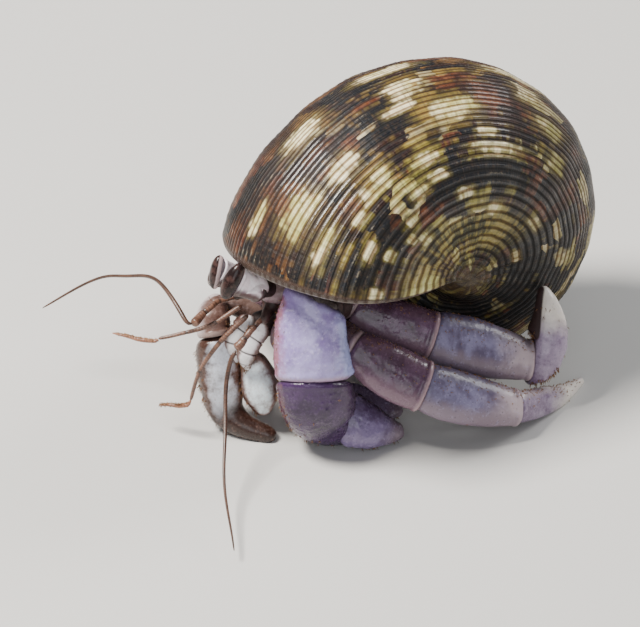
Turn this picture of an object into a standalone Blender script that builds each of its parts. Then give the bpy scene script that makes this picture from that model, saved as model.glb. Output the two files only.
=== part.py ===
# A hermit crab in a turban shell, life size, still.
# Lengths are millimetres until build() turns them to metres.
# The crab heads towards -Y, its left side is +X, and it stands on z = 0.
import math

import bmesh
import bpy
import numpy as np
from mathutils import Matrix, Vector

for old in list(bpy.data.objects):
    bpy.data.objects.remove(old, do_unlink=True)

MM = 0.001
GAP = 0.32                      # clear space between two neighbouring pieces

# ---- the shell: one ellipse, grown and turned about the coiling axis ----
WHORL_GROWTH = 2.34             # size gained in one turn
LIP_RADIUS = 26.8               # axis to the outermost point of the lip
WHORL_HALF_WIDTH = 15.5         # half of the whorl, measured across the axis
WHORL_HALF_LENGTH = 14.5        # half of the whorl, measured along the axis
WHORL_STATION = 21.1            # growth centre to the middle of the lip, along the axis
SPIRE_START = 1.0               # turns back from the lip where the spire tightens
SPIRE_GROWTH = 1.6              # size gained in one turn of the spire
SPIRE_HEIGHT = 15.5             # from that turn to the apex, along the axis
SPIRE_SLOPE = 0.74              # how fast the spire widens
BASE_END = 25.5                 # growth centre to the end of the pillar, along the axis
LIP_TURN = 16.6                 # degrees of the lip above straight ahead
AXIS_YAW = 19.1                 # degrees the base end is swung forward
AXIS_PITCH = 11.7               # degrees the base end is lifted
BASE_POINT = (9.2, 6.5, 18.78)  # a point of the axis near the base
BASE_REACH = 32.7               # that point to the apex
LIP_THICKNESS = 1.3
MOUTH_DEPTH = 96.0              # degrees the mouth runs back into the last whorl
SHELL_STEPS = 40                # divisions of one turn
SHELL_ROWS = 24                 # divisions from spire to base

# ---- the crab ----
MIDLINE = -10.2                 # where the middle of the head lies across the body
EYE_LENGTH = 4.2                # the dark cornea, top to bottom
EYE_WIDTH = 1.7
FEELER_THICKNESS = 0.62
RING = 12                       # points round a limb
BEVEL_SIZE = 0.86               # a joint face against the limb behind it
BEVEL_DEPTH = 0.25              # that face to the full section
ROUNDED_END = ((0.8, 0.55), (0.45, 0.9))    # (size, distance out in half widths) of an end's last rings
TURN_PART = 0.6                 # share of a piece over which its sections turn to the joint plane


def unit(v):
    v = np.asarray(v, float)
    return v / np.linalg.norm(v)


def material(name, colour, roughness):
    made = bpy.data.materials.new(name)
    made.use_nodes = True
    shader = made.node_tree.nodes["Principled BSDF"]
    shader.inputs["Base Color"].default_value = (*colour, 1.0)
    shader.inputs["Roughness"].default_value = roughness
    shader.inputs["Metallic"].default_value = 0.0
    return made


VIOLET = (0.30, 0.24, 0.36)
MAUVE = (0.26, 0.17, 0.21)
PALE = (0.66, 0.62, 0.62)
BROWN = (0.17, 0.08, 0.05)
DARK = (0.025, 0.015, 0.012)
OLIVE = (0.23, 0.22, 0.08)

made_objects = []


def build(name, points, faces, colour, roughness=0.4):
    mesh = bpy.data.meshes.new(name)
    mesh.from_pydata([tuple(float(c) * MM for c in p) for p in points], [], faces)
    mesh.update()
    work = bmesh.new()
    work.from_mesh(mesh)
    bmesh.ops.remove_doubles(work, verts=work.verts, dist=1e-6)
    bmesh.ops.dissolve_degenerate(work, edges=work.edges, dist=1e-6)
    bmesh.ops.recalc_face_normals(work, faces=work.faces)
    if work.calc_volume(signed=True) < 0:
        bmesh.ops.reverse_faces(work, faces=work.faces)
    for face in work.faces:
        face.smooth = True
    work.to_mesh(mesh)
    work.free()
    thing = bpy.data.objects.new(name, mesh)
    bpy.context.scene.collection.objects.link(thing)
    mesh.materials.append(material(name + "_look", colour, roughness))
    made_objects.append(thing)
    return thing


# ---- shell
yaw = math.radians(AXIS_YAW)
pitch = math.radians(AXIS_PITCH)
axis = np.array((math.cos(pitch) * math.cos(yaw), -math.cos(pitch) * math.sin(yaw), math.sin(pitch)))
upward = unit(np.array((0.0, 0.0, 1.0)) - axis * axis[2])
forward = unit(np.cross(upward, axis))
if forward[1] > 0:
    forward = -forward
apex = np.array(BASE_POINT) - axis * BASE_REACH


def shell_point(along, out, turn):
    """A point of the shell: how far along the axis, how far out, and its turn in degrees."""
    angle = math.radians(turn)
    point = apex + axis * along + (forward * math.cos(angle) + upward * math.sin(angle)) * out
    point[2] = max(point[2], 0.0)
    return point


def ray_to_ellipse(start, direction, centre, half_along, half_out):
    """Far crossing of a ray with an ellipse, or None. Points are (along, out)."""
    sx = (start[0] - centre[0]) / half_along
    sy = (start[1] - centre[1]) / half_out
    dx = direction[0] / half_along
    dy = direction[1] / half_out
    a = dx * dx + dy * dy
    b = sx * dx + sy * dy
    c = sx * sx + sy * sy - 1.0
    under = b * b - a * c
    if under < 0:
        return None
    far = (-b + math.sqrt(under)) / a
    return far if far > 0 else None


HEART = 12.0                                    # a point of the axis that sees the whole outside
start_scale = WHORL_GROWTH ** -SPIRE_START
APEX_ALONG = WHORL_STATION * start_scale - SPIRE_HEIGHT


def whorl(turns_back):
    """Middle (along, out) and half sizes (along, out) of the whorl that many turns before the lip."""
    if turns_back <= SPIRE_START:
        scale = WHORL_GROWTH ** -turns_back
        along = WHORL_STATION * scale
    else:
        inner = SPIRE_GROWTH ** -(turns_back - SPIRE_START)
        scale = start_scale * inner
        along = WHORL_STATION * start_scale - SPIRE_HEIGHT * (1.0 - inner)
    out = (LIP_RADIUS - WHORL_HALF_WIDTH) * scale
    return (along, out), (WHORL_HALF_LENGTH * scale, WHORL_HALF_WIDTH * scale)


def reach(turns_back, tilt):
    """How far the outside lies from the heart of the shell, at a turn and a tilt from the spire end."""
    direction = (-math.cos(tilt), math.sin(tilt))
    best = 0.0
    for k in range(9):
        middle, half = whorl(turns_back + k)
        far = ray_to_ellipse((HEART, 0.0), direction, middle, half[0], half[1])
        if far:
            best = max(best, far)
    if tilt < 1.4:
        cone = (HEART - APEX_ALONG) * SPIRE_SLOPE / (math.sin(tilt) + SPIRE_SLOPE * math.cos(tilt))
        best = max(best, cone * 0.98)
    return best


def base_reach(turns_back, tilt):
    """The outside, with the base drawn smoothly together to the end of the pillar on the axis."""
    raw = reach(turns_back, tilt)
    mix = min(max((tilt - math.radians(138)) / math.radians(42), 0.0), 1.0)
    mix = mix * mix * (3 - 2 * mix)
    return raw * (1 - mix) + (BASE_END - HEART) * mix


def shell_outside():
    points = [tuple(apex + axis * (HEART - reach(0.3, 0.0))), tuple(apex + axis * BASE_END)]
    rows = []
    for i in range(SHELL_STEPS + 1):
        back = 1.0 - i / SHELL_STEPS
        row = []
        for j in range(1, SHELL_ROWS):
            part = j / SHELL_ROWS
            tilt = math.pi * part * (0.7 + 0.3 * part)
            r = base_reach(back, tilt)
            row.append(len(points))
            along = HEART - r * math.cos(tilt)
            points.append(shell_point(along, r * math.sin(tilt), LIP_TURN + 360.0 * back))
        rows.append(row)
    faces = []
    for i in range(SHELL_STEPS):
        a, b = rows[i], rows[i + 1]
        faces.append((0, a[0], b[0]))
        for j in range(len(a) - 1):
            faces.append((a[j], a[j + 1], b[j + 1], b[j]))
        faces.append((a[-1], 1, b[-1]))
    a, b = rows[-1], rows[0]
    faces.append((0, a[0], b[0]))
    for j in range(len(a) - 1):
        faces.append((a[j], a[j + 1], b[j + 1], b[j]))
    faces.append((a[-1], 1, b[-1]))
    return points, faces


def mouth_reach(back, angle, wall):
    """From the middle of the opening to its wall, which the earlier whorl bulges into."""
    centre, half = whorl(back)
    middle = (centre[0] + 2.2, centre[1] * 1.12)
    direction = (math.cos(angle), math.sin(angle))
    far = ray_to_ellipse(middle, direction, centre, half[0] - wall, half[1] - wall)
    (cx, cy), (ha, ho) = whorl(back + 1)
    step = 0.0
    while step < far:
        x = middle[0] + direction[0] * step
        y = middle[1] + direction[1] * step
        to_heart = math.hypot(x - HEART, y)
        tilt = math.atan2(y, HEART - x)
        inside = to_heart < base_reach(back, tilt) - wall
        if ((x - cx) / (ha + wall)) ** 2 + ((y - cy) / (ho + wall)) ** 2 < 1.0 or y < 3.2 or not inside:
            break
        step += 0.1
    return middle, min(step, far)


def mouth_cutter():
    rings = 14
    around = 28
    points = []
    rows = []
    for i in range(rings + 1):
        back = -0.012 + (MOUTH_DEPTH / 360.0 + 0.012) * i / rings
        close = 1.0 if i < rings - 3 else math.cos((i - rings + 3) / 3.0 * 1.25)
        middle, _ = mouth_reach(max(back, 0.0), 0.0, LIP_THICKNESS)
        row = []
        for j in range(around):
            angle = 2 * math.pi * j / around
            _, r = mouth_reach(max(back, 0.0), angle, LIP_THICKNESS)
            r *= close
            row.append(len(points))
            points.append(shell_point(middle[0] + math.cos(angle) * r, middle[1] + math.sin(angle) * r,
                                      LIP_TURN + 360.0 * back))
        rows.append(row)
    faces = []
    for a, b in zip(rows, rows[1:]):
        for j in range(around):
            faces.append((a[j], a[(j + 1) % around], b[(j + 1) % around], b[j]))
    faces.append(tuple(rows[0]))
    faces.append(tuple(reversed(rows[-1])))
    return points, faces


def cut(thing, cutter):
    hole = thing.modifiers.new("mouth", "BOOLEAN")
    hole.operation = "DIFFERENCE"
    hole.solver = "EXACT"
    hole.object = cutter
    cutter.hide_render = True
    cutter.display_type = "WIRE"


# ---- limbs
def curve(points, count):
    """Evenly spaced points of a smooth curve through the given rows of numbers."""
    rows = np.asarray(points, float)
    if len(rows) == 2:
        return np.array([rows[0] + (rows[1] - rows[0]) * t for t in np.linspace(0, 1, count)])
    steps = np.linalg.norm(np.diff(rows[:, :3], axis=0), axis=1)
    at = np.concatenate(([0.0], np.cumsum(steps)))
    out = []
    for where in np.linspace(0, at[-1], count):
        k = int(min(np.searchsorted(at, where, side="right") - 1, len(rows) - 2))
        k = max(k, 0)
        t = (where - at[k]) / (at[k + 1] - at[k])
        before = rows[k - 1] if k > 0 else 2 * rows[k] - rows[k + 1]
        after = rows[k + 2] if k + 2 < len(rows) else 2 * rows[k + 1] - rows[k]
        a, b = rows[k], rows[k + 1]
        out.append(0.5 * (2 * a + (b - before) * t + (2 * before - 5 * a + 4 * b - after) * t * t
                          + (3 * a - before - 3 * b + after) * t ** 3))
    return np.array(out)


def loft(name, stations, up, colour, roughness=0.4, rings=9, around=RING, start=None, end=None, power=2.3,
         keel=0.0):
    """A closed limb piece. Each station is (x, y, z, half height, half thickness).
    start and end are the normals of the two joint planes. An end without one is rounded off."""
    rows = curve(stations, rings)
    centres = rows[:, :3]
    tangents = np.gradient(centres, axis=0)
    tangents = np.array([unit(t) for t in tangents])
    up = unit(up)
    points = []
    layout = []

    def ring(centre, tangent, half_height, half_thick, plane=None, anchor=None):
        height = unit(up - tangent * np.dot(up, tangent))
        side = np.cross(tangent, height)
        ids = []
        for j in range(around):
            angle = 2 * math.pi * (j + 0.5) / around
            c, s = math.cos(angle), math.sin(angle)
            x = math.copysign(abs(c) ** (2.0 / power), c) * half_thick
            y = math.copysign(abs(s) ** (2.0 / power), s) * half_height
            if keel:
                x *= 1.0 - keel * max(s, 0.0) ** 2
            p = centre + side * x + height * y
            if plane is not None:
                p = p + tangent * (np.dot(anchor - p, plane) / np.dot(tangent, plane))
            ids.append(len(points))
            points.append(p)
        layout.append(ids)

    first_plane = None
    last_plane = None
    if start is not None:
        first_plane = unit(start) * math.copysign(1.0, np.dot(start, tangents[0]))
    if end is not None:
        last_plane = unit(end) * math.copysign(1.0, np.dot(end, tangents[-1]))
    if start is not None:
        ring(centres[0], tangents[0], *(rows[0, 3:5] * BEVEL_SIZE), first_plane, centres[0])
    else:
        for shrink, along in reversed(ROUNDED_END):
            spot = centres[0] - tangents[0] * rows[0, 3:5].min() * along
            ring(spot, tangents[0], *(rows[0, 3:5] * shrink))
    for i in range(rings):
        middle = centres[i]
        if i == 0 and start is not None:
            middle = middle + tangents[i] * BEVEL_DEPTH
        if i == rings - 1 and end is not None:
            middle = middle - tangents[i] * BEVEL_DEPTH
        part = i / (rings - 1)
        plane = tangents[i]
        if start is not None and part < TURN_PART:
            lean = (1.0 - part / TURN_PART) ** 1.5
            plane = unit(tangents[i] * (1.0 - lean) + first_plane * lean)
        if end is not None and part > 1.0 - TURN_PART:
            lean = ((part - 1.0 + TURN_PART) / TURN_PART) ** 1.5
            plane = unit(plane * (1.0 - lean) + last_plane * lean)
        ring(middle, tangents[i], rows[i, 3], rows[i, 4], plane, middle)
    if end is not None:
        ring(centres[-1], tangents[-1], *(rows[-1, 3:5] * BEVEL_SIZE), last_plane, centres[-1])
    else:
        for shrink, along in ROUNDED_END:
            spot = centres[-1] + tangents[-1] * rows[-1, 3:5].min() * along
            ring(spot, tangents[-1], *(rows[-1, 3:5] * shrink))
    faces = []
    for a, b in zip(layout, layout[1:]):
        for j in range(around):
            faces.append((a[j], a[(j + 1) % around], b[(j + 1) % around], b[j]))
    for ids, flip in ((layout[0], True), (layout[-1], False)):
        middle = len(points)
        points.append(np.mean([points[k] for k in ids], axis=0))
        for j in range(around):
            tri = (ids[j], ids[(j + 1) % around], middle)
            faces.append(tuple(reversed(tri)) if flip else tri)
    points = [np.array((p[0], p[1], max(p[2], 0.0))) for p in points]
    return build(name, points, faces, colour, roughness)


def chain(side, names, joints, shapes, up, colours, keel=0.0, power=2.3, last_plane=None):
    """A jointed limb. Each piece ends on the plane that halves the bend, half a gap short of it.
    The last piece runs out to a tip, or ends on last_plane."""
    joints = [np.asarray(j, float) for j in joints]
    count = len(joints) - 1
    lifts = list(up) if isinstance(up[0], tuple) else [up] * count
    directions = [unit(joints[i + 1] - joints[i]) for i in range(count)]
    planes = [directions[0]]
    for i in range(1, count):
        planes.append(unit(directions[i - 1] + directions[i]))
    planes.append(directions[-1] if last_plane is None else unit(last_plane))
    for i in range(count):
        first = joints[i] + directions[i] * (GAP * 0.5 / np.dot(directions[i], planes[i]))
        last = joints[i + 1]
        tip = i == count - 1 and last_plane is None
        if not tip:
            last = last - directions[i] * (GAP * 0.5 / np.dot(directions[i], planes[i + 1]))
        rows = []
        for t, height, thick, rise, sway in shapes[i]:
            spot = first + (last - first) * t
            lift = unit(np.asarray(lifts[i], float) - directions[i] * np.dot(lifts[i], directions[i]))
            spot = spot + lift * rise + np.cross(directions[i], lift) * sway
            rows.append((*spot, height, thick))
        loft(side + "_" + names[i], rows, lifts[i], colours[i], start=planes[i],
             end=None if tip else planes[i + 1], rings=7 if tip else 5, keel=keel, power=power)


LEG_NAMES = ("merus", "carpus", "propodus", "dactyl")
LEG_COLOURS = (MAUVE, VIOLET, VIOLET, PALE)


def leg_shapes(thigh, wrist, shin, claw, thick=1.0, bend=0.0, sag=0.1):
    """Rows of (place, half height, half thickness, rise, sway) for a leg's four pieces.
    thigh, wrist, shin and claw are their half heights. bend is the dactyl's curve.
    sag lifts or drops the bellies of the carpus and propodus."""
    t = thick
    return (
        ((0.0, thigh * 0.8, 1.1 * t, 0, 0),
         (0.5, thigh, 1.3 * t, 0, 0),
         (1.0, thigh * 0.95, 1.3 * t, 0, 0)),
        ((0.0, wrist * 0.74, 1.25 * t, 0, 0),
         (0.5, wrist, 1.5 * t, sag, 0),
         (1.0, wrist * 0.96, 1.5 * t, 0, 0)),
        ((0.0, shin * 0.9, 1.5 * t, 0, 0),
         (0.42, shin, 1.6 * t, sag, 0),
         (1.0, shin * 0.66, 1.15 * t, 0, 0)),
        ((0.0, claw, 1.05 * t, 0, 0), (0.35, claw * 0.92, 0.95 * t, bend * 0.75, 0),
         (0.7, claw * 0.62, 0.7 * t, bend, 0), (1.0, 0.3, 0.28, 0, 0)),
    )


# ---- build the shell
points, faces = shell_outside()
shell = build("shell", points, faces, OLIVE, 0.3)
points, faces = mouth_cutter()
mouth = build("mouth_shape", points, faces, OLIVE)
made_objects.remove(mouth)
cut(shell, mouth)

# ---- body
# the shield, under the front lip of the shell
loft("shield", (
    (MIDLINE - 0.1, -9.5, 17.4, 1.2, 2.6),
    (MIDLINE, -7.3, 18.0, 1.7, 3.2),
    (MIDLINE + 0.4, -5.0, 18.6, 1.8, 3.4),
    (MIDLINE + 1.4, -3.2, 19.2, 1.3, 3.0),
), (0.0, 0.25, 1.0), MAUVE, 0.4, rings=8, around=18, power=2.6)
# the chest that carries the legs
loft("chest", (
    (MIDLINE - 0.1, -8.6, 12.7, 1.4, 1.8),
    (MIDLINE, -7.1, 12.7, 2.0, 2.3),
    (MIDLINE + 0.3, -4.9, 13.5, 2.0, 2.4),
    (MIDLINE + 0.6, -3.4, 14.3, 1.2, 2.0),
), (0.0, 0.45, 1.0), PALE, 0.5, rings=7, around=16, power=2.4)
# the soft rear body, filling the mouth of the shell
loft("rear_body", (
    (-4.0, 0.2, 23.9, 3.6, 5.6),
    (-4.0, 1.4, 25.8, 5.0, 6.2),
    (-4.4, 4.0, 28.0, 4.9, 5.4),
    (-6.0, 8.6, 29.0, 3.4, 3.6),
), (0.0, 0.8, -0.6), BROWN, 0.6, rings=8, around=18, power=2.2)

# ---- head
for side, base, tip, lean in (
    ("left", (-8.7, -10.9, 18.7), (-9.0, -15.0, 21.9), 1.0),
    ("right", (-11.6, -11.0, 18.5), (-11.6, -15.3, 21.8), -1.0),
):
    base, tip = np.array(base), np.array(tip)
    along = unit(tip - base)
    lift = unit(np.array((0.0, 0.0, 1.0)) - along * along[2])
    loft("eyestalk_" + side, (
        (*(base + along * 0.3), 1.45, 0.95),
        (*(base + (tip - base) * 0.5), 1.5, 0.95),
        (*(tip - along * 0.15), 1.75, 0.98),
    ), (0, 0, 1), PALE, 0.35, rings=7, start=along, end=along)
    centre = tip + along * 0.2
    loft("eye_" + side, (
        (*centre, EYE_LENGTH * 0.43, EYE_WIDTH * 0.5),
        (*(centre + along * 0.35), EYE_LENGTH * 0.5, EYE_WIDTH * 0.56),
        (*(centre + along * 0.9), EYE_LENGTH * 0.4, EYE_WIDTH * 0.44),
    ), (0, 0, 1), DARK, 0.08, rings=5, start=along)

# second antennae: a stout three-piece stem each, then the long whip
loft("antenna_stem_left", (
    (-8.2, -11.6, 15.7, 0.8, 0.8),
    (-8.0, -13.1, 15.1, 0.85, 0.85),
    (-8.3, -14.9, 13.5, 0.65, 0.65),
), (0, 0, 1), BROWN, 0.4, rings=7, around=10)
loft("antenna_stem_right", (
    (-12.8, -11.9, 16.1, 0.78, 0.78),
    (-13.1, -14.2, 16.4, 0.78, 0.78),
    (-12.7, -17.4, 15.4, 0.62, 0.62),
), (0, 0, 1), BROWN, 0.4, rings=7, around=10)
f = FEELER_THICKNESS / 2
loft("antenna_left", (
    (-8.4, -16.0, 12.3, f * 1.1, f * 1.1),
    (-8.3, -16.7, 10.3, f, f),
    (-7.2, -17.8, 8.4, f, f),
    (-5.0, -19.6, 6.2, f, f),
    (-0.4, -23.6, 3.3, f, f),
    (7.4, -28.6, 1.5, f * 0.85, f * 0.85),
), (0, 0, 1), BROWN, 0.4, rings=14, around=6, power=2.0)
loft("antenna_right", (
    (-12.7, -18.6, 15.7, f * 1.1, f * 1.1),
    (-14.0, -18.5, 16.5, f, f),
    (-16.0, -17.9, 17.2, f, f),
    (-20.5, -17.0, 17.0, f, f),
    (-24.0, -17.8, 15.5, f, f),
    (-28.1, -18.9, 13.5, f, f),
    (-32.4, -22.8, 9.0, f * 0.85, f * 0.85),
), (0, 0, 1), BROWN, 0.4, rings=16, around=6, power=2.0)

# first antennae: an elbowed stalk and a flat club
loft("antennule_stalk_left", (
    (-10.0, -12.4, 15.3, 0.42, 0.42),
    (-10.9, -15.2, 13.0, 0.36, 0.36),
    (-12.3, -17.2, 9.0, 0.32, 0.32),
    (-12.9, -17.9, 5.2, 0.3, 0.3),
), (0, 1, 0.3), BROWN, 0.4, rings=8, around=6, power=2.0)
loft("antennule_club_left", (
    (-13.2, -18.3, 4.3, 0.34, 0.3),
    (-14.4, -19.0, 3.9, 0.5, 0.3),
    (-15.9, -19.8, 3.6, 0.3, 0.26),
), (0, 0, 1), BROWN, 0.4, rings=6, around=6, power=2.0)
loft("antennule_stalk_right", (
    (-11.3, -12.4, 15.9, 0.42, 0.42),
    (-12.6, -15.4, 14.1, 0.36, 0.36),
    (-14.4, -18.3, 13.3, 0.32, 0.32),
    (-15.7, -19.9, 12.7, 0.3, 0.3),
), (0, 0, 1), BROWN, 0.4, rings=8, around=6, power=2.0)
loft("antennule_club_right", (
    (-16.2, -20.4, 12.3, 0.4, 0.3),
    (-18.0, -21.4, 12.1, 0.62, 0.32),
    (-20.5, -22.6, 12.0, 0.3, 0.26),
), (0, 0, 1), BROWN, 0.4, rings=6, around=6, power=2.0)

# outer mouth limbs, folded down between the claws
for side, x, out in (("left", -9.2, 1.0), ("right", -11.4, -1.0)):
    loft("mouth_limb_" + side, (
        (x, -11.2, 13.4, 0.95, 0.85),
        (x, -12.9, 12.3, 1.1, 0.9),
        (x, -13.6, 10.5, 1.0, 0.85),
        (x - out * 0.25, -12.8, 9.2, 0.6, 0.5),
    ), (0, -1, 0.4), PALE, 0.45, rings=8, around=10)


# ---- claws
ACROSS = (0.64, 0.77, 0.0)                      # the broad faces of the big claw look out to the left
WRIST = (-0.45, 0.378, 0.809)                   # the joint plane between carpus and palm
KNUCKLE = (0.72, 0.69, 0.0)                     # the joint plane between palm and fingers

loft("left_claw_merus", (
    (-7.3, -8.2, 10.4, 1.0, 0.7),
    (-7.6, -9.7, 12.2, 1.3, 0.75),
    (-7.6, -9.6, 14.3, 1.0, 0.6),
), (0, 1, 0), MAUVE, 0.4, rings=6, around=12)
loft("left_claw_carpus", (
    (-4.5, -8.1, 17.5, 2.8, 1.5),
    (-4.1, -8.6, 15.7, 3.35, 2.1),
    (-3.4, -9.1, 12.6, 3.65, 2.5),
    (-2.45, -9.25, 9.7, 3.8, 2.5),
), ACROSS, VIOLET, 0.35, rings=8, around=16, start=(-0.08, 0.7, 0.71), end=WRIST)
loft("left_claw_palm", (
    (-2.35, -9.3, 9.3, 3.9, 2.5),
    (-2.3, -8.8, 7.1, 3.9, 2.8),
    (-2.8, -7.4, 4.5, 3.85, 2.8),
    (-1.9, -4.9, 2.8, 3.3, 2.4),
), ACROSS, VIOLET, 0.35, rings=9, around=18, start=WRIST, end=KNUCKLE)
loft("left_claw_finger", (
    (-1.6, -4.65, 3.25, 2.9, 1.2),
    (0.3, -2.9, 2.2, 2.3, 1.15),
    (1.4, -1.65, 1.55, 1.55, 0.9),
    (2.2, -0.5, 1.1, 0.75, 0.55),
), WRIST, VIOLET, 0.35, rings=7, around=14, start=KNUCKLE)
loft("left_claw_fixed_finger", (
    (-3.4, -3.05, 3.0, 1.9, 0.7),
    (-2.0, -0.95, 2.4, 1.6, 0.7),
    (-1.0, 0.55, 1.8, 1.1, 0.5),
    (-0.3, 1.4, 1.4, 0.5, 0.35),
), WRIST, MAUVE, 0.35, rings=6, around=12, start=KNUCKLE)

loft("right_claw_merus", (
    (-13.7, -7.9, 11.4, 1.1, 1.0),
    (-15.2, -9.1, 12.2, 1.3, 1.1),
    (-15.9, -10.3, 12.8, 1.0, 0.9),
), (0, 0, 1), MAUVE, 0.4, rings=6, around=12)
loft("right_claw_carpus", (
    (-15.8, -12.5, 13.3, 1.2, 1.1),
    (-15.2, -13.3, 12.6, 1.7, 1.5),
    (-14.4, -13.7, 11.3, 1.7, 1.4),
), (0.3, -0.2, 1.0), PALE, 0.35, rings=7, around=14, end=(0.5, -0.2, -0.8))
loft("right_claw_palm", (
    (-14.1, -13.85, 10.5, 1.65, 1.35),
    (-13.5, -13.9, 7.9, 2.0, 1.65),
    (-12.9, -13.9, 4.8, 1.9, 1.55),
    (-12.0, -13.9, 2.1, 1.5, 1.3),
    (-9.8, -13.2, 0.95, 1.0, 1.0),
    (-7.4, -11.9, 0.55, 0.6, 0.6),
), ACROSS, PALE, 0.3, rings=14, around=16, start=(0.5, -0.2, -0.8))
loft("right_claw_finger", (
    (-10.6, -11.2, 8.2, 1.15, 0.85),
    (-9.9, -11.2, 6.5, 1.7, 1.15),
    (-9.3, -11.3, 4.7, 1.55, 1.05),
    (-9.0, -11.4, 3.2, 0.8, 0.6),
), ACROSS, PALE, 0.3, rings=8, around=14)

# ---- walking legs
OUTWARD = (-0.45, 0.38, 0.81)                   # across the flat faces of the left legs
chain("left_leg_one", LEG_NAMES,
      ((-6.6, -3.9, 11.6), (-1.4, -4.1, 11.85), (4.5, 0.65, 7.85), (9.3, 9.8, 3.4), (7.0, 21.4, 0.35)),
      leg_shapes(1.95, 2.9, 2.85, 1.75, 1.0, -0.7, -0.35), OUTWARD, LEG_COLOURS, keel=0.15)
BACKWARD = (0.42, 0.86, -0.28)                  # the way the second left leg's last joint looks
chain("left_leg_two", LEG_NAMES[:3],
      ((-7.0, -2.0, 15.4), (-5.2, -1.1, 13.9), (1.1, 4.8, 10.9), (6.5, 14.3, 6.1)),
      leg_shapes(1.5, 2.65, 3.15, 1.9, sag=-0.15), OUTWARD, LEG_COLOURS, keel=0.15, last_plane=BACKWARD)
loft("left_leg_two_dactyl", (
    (6.65, 14.65, 6.0, 1.9, 1.1),
    (7.1, 15.8, 6.9, 2.2, 1.1),
    (6.8, 16.9, 9.0, 1.95, 0.95),
    (5.9, 17.6, 11.0, 1.25, 0.75),
    (4.8, 17.9, 12.8, 0.4, 0.35),
), (0.64, 0.51, -0.22), PALE, 0.4, rings=9, around=14, start=BACKWARD)
chain("right_leg_one", LEG_NAMES,
      ((-13.3, -5.2, 11.4), (-17.6, -5.9, 12.4), (-22.0, -2.8, 8.6), (-29.0, 4.4, 3.4), (-31.6, 14.8, 0.2)),
      leg_shapes(1.4, 2.0, 2.0, 1.25, 0.95, 0.5), (-0.2, -0.1, 1.0), LEG_COLOURS, keel=0.15)
chain("right_leg_two", LEG_NAMES,
      ((-13.2, -3.6, 15.2), (-17.9, -4.0, 16.4), (-23.2, 0.4, 12.9), (-28.8, 10.6, 6.4),
       (-29.8, 22.4, 0.2)),
      leg_shapes(1.4, 2.0, 2.1, 1.25, 0.95, 0.5), (-0.2, -0.1, 1.0), LEG_COLOURS, keel=0.15)

# ---- set the middle of the whole over the origin
low = Vector((1e9, 1e9, 1e9))
high = Vector((-1e9, -1e9, -1e9))
for thing in made_objects:
    for vertex in thing.data.vertices:
        for k in range(3):
            low[k] = min(low[k], vertex.co[k])
            high[k] = max(high[k], vertex.co[k])
shift = Vector((-(low[0] + high[0]) / 2, -(low[1] + high[1]) / 2, -low[2]))
for thing in made_objects + [mouth]:
    thing.data.transform(Matrix.Translation(shift))
    thing.data.update()
print("shift", *[round(c / MM, 3) for c in shift])
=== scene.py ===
import heapq
import math

import bpy
import numpy as np
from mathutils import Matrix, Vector, noise
from mathutils.bvhtree import BVHTree


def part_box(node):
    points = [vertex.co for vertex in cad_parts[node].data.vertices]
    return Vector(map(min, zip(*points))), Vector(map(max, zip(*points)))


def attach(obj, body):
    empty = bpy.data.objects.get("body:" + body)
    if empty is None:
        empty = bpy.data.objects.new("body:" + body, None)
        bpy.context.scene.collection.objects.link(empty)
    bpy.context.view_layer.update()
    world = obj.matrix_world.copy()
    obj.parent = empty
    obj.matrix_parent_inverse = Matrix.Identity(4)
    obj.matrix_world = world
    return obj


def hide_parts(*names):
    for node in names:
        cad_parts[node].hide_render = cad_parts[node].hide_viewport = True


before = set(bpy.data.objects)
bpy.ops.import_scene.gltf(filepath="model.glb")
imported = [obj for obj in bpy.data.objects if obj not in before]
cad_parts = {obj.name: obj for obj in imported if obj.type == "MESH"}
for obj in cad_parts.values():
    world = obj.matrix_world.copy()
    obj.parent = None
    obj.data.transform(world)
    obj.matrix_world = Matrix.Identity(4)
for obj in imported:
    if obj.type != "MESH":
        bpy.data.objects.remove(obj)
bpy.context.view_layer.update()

# A hermit crab in its turban shell. Each hard piece is shaped round its solid, the flesh is one skin.
mm = 0.001                           # everything below is worked out in millimetres
scene = bpy.context.scene
fine = 1.0    # how closely the surfaces are divided
beyond = 9.0                         # a distance that means nowhere near
pieceOf = {}                         # the first finished piece of each solid


# one output of a shader node, so that a sum on it reads as a sum
class Flow:
    def __init__(self, paint, socket):
        self.paint = paint
        self.socket = socket

    def __add__(self, other):
        return self.paint.maths("ADD", self, other)

    def __radd__(self, other):
        return self.paint.maths("ADD", other, self)

    def __sub__(self, other):
        return self.paint.maths("SUBTRACT", self, other)

    def __rsub__(self, other):
        return self.paint.maths("SUBTRACT", other, self)

    def __mul__(self, other):
        return self.paint.maths("MULTIPLY", self, other)

    def __rmul__(self, other):
        return self.paint.maths("MULTIPLY", other, self)


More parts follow.
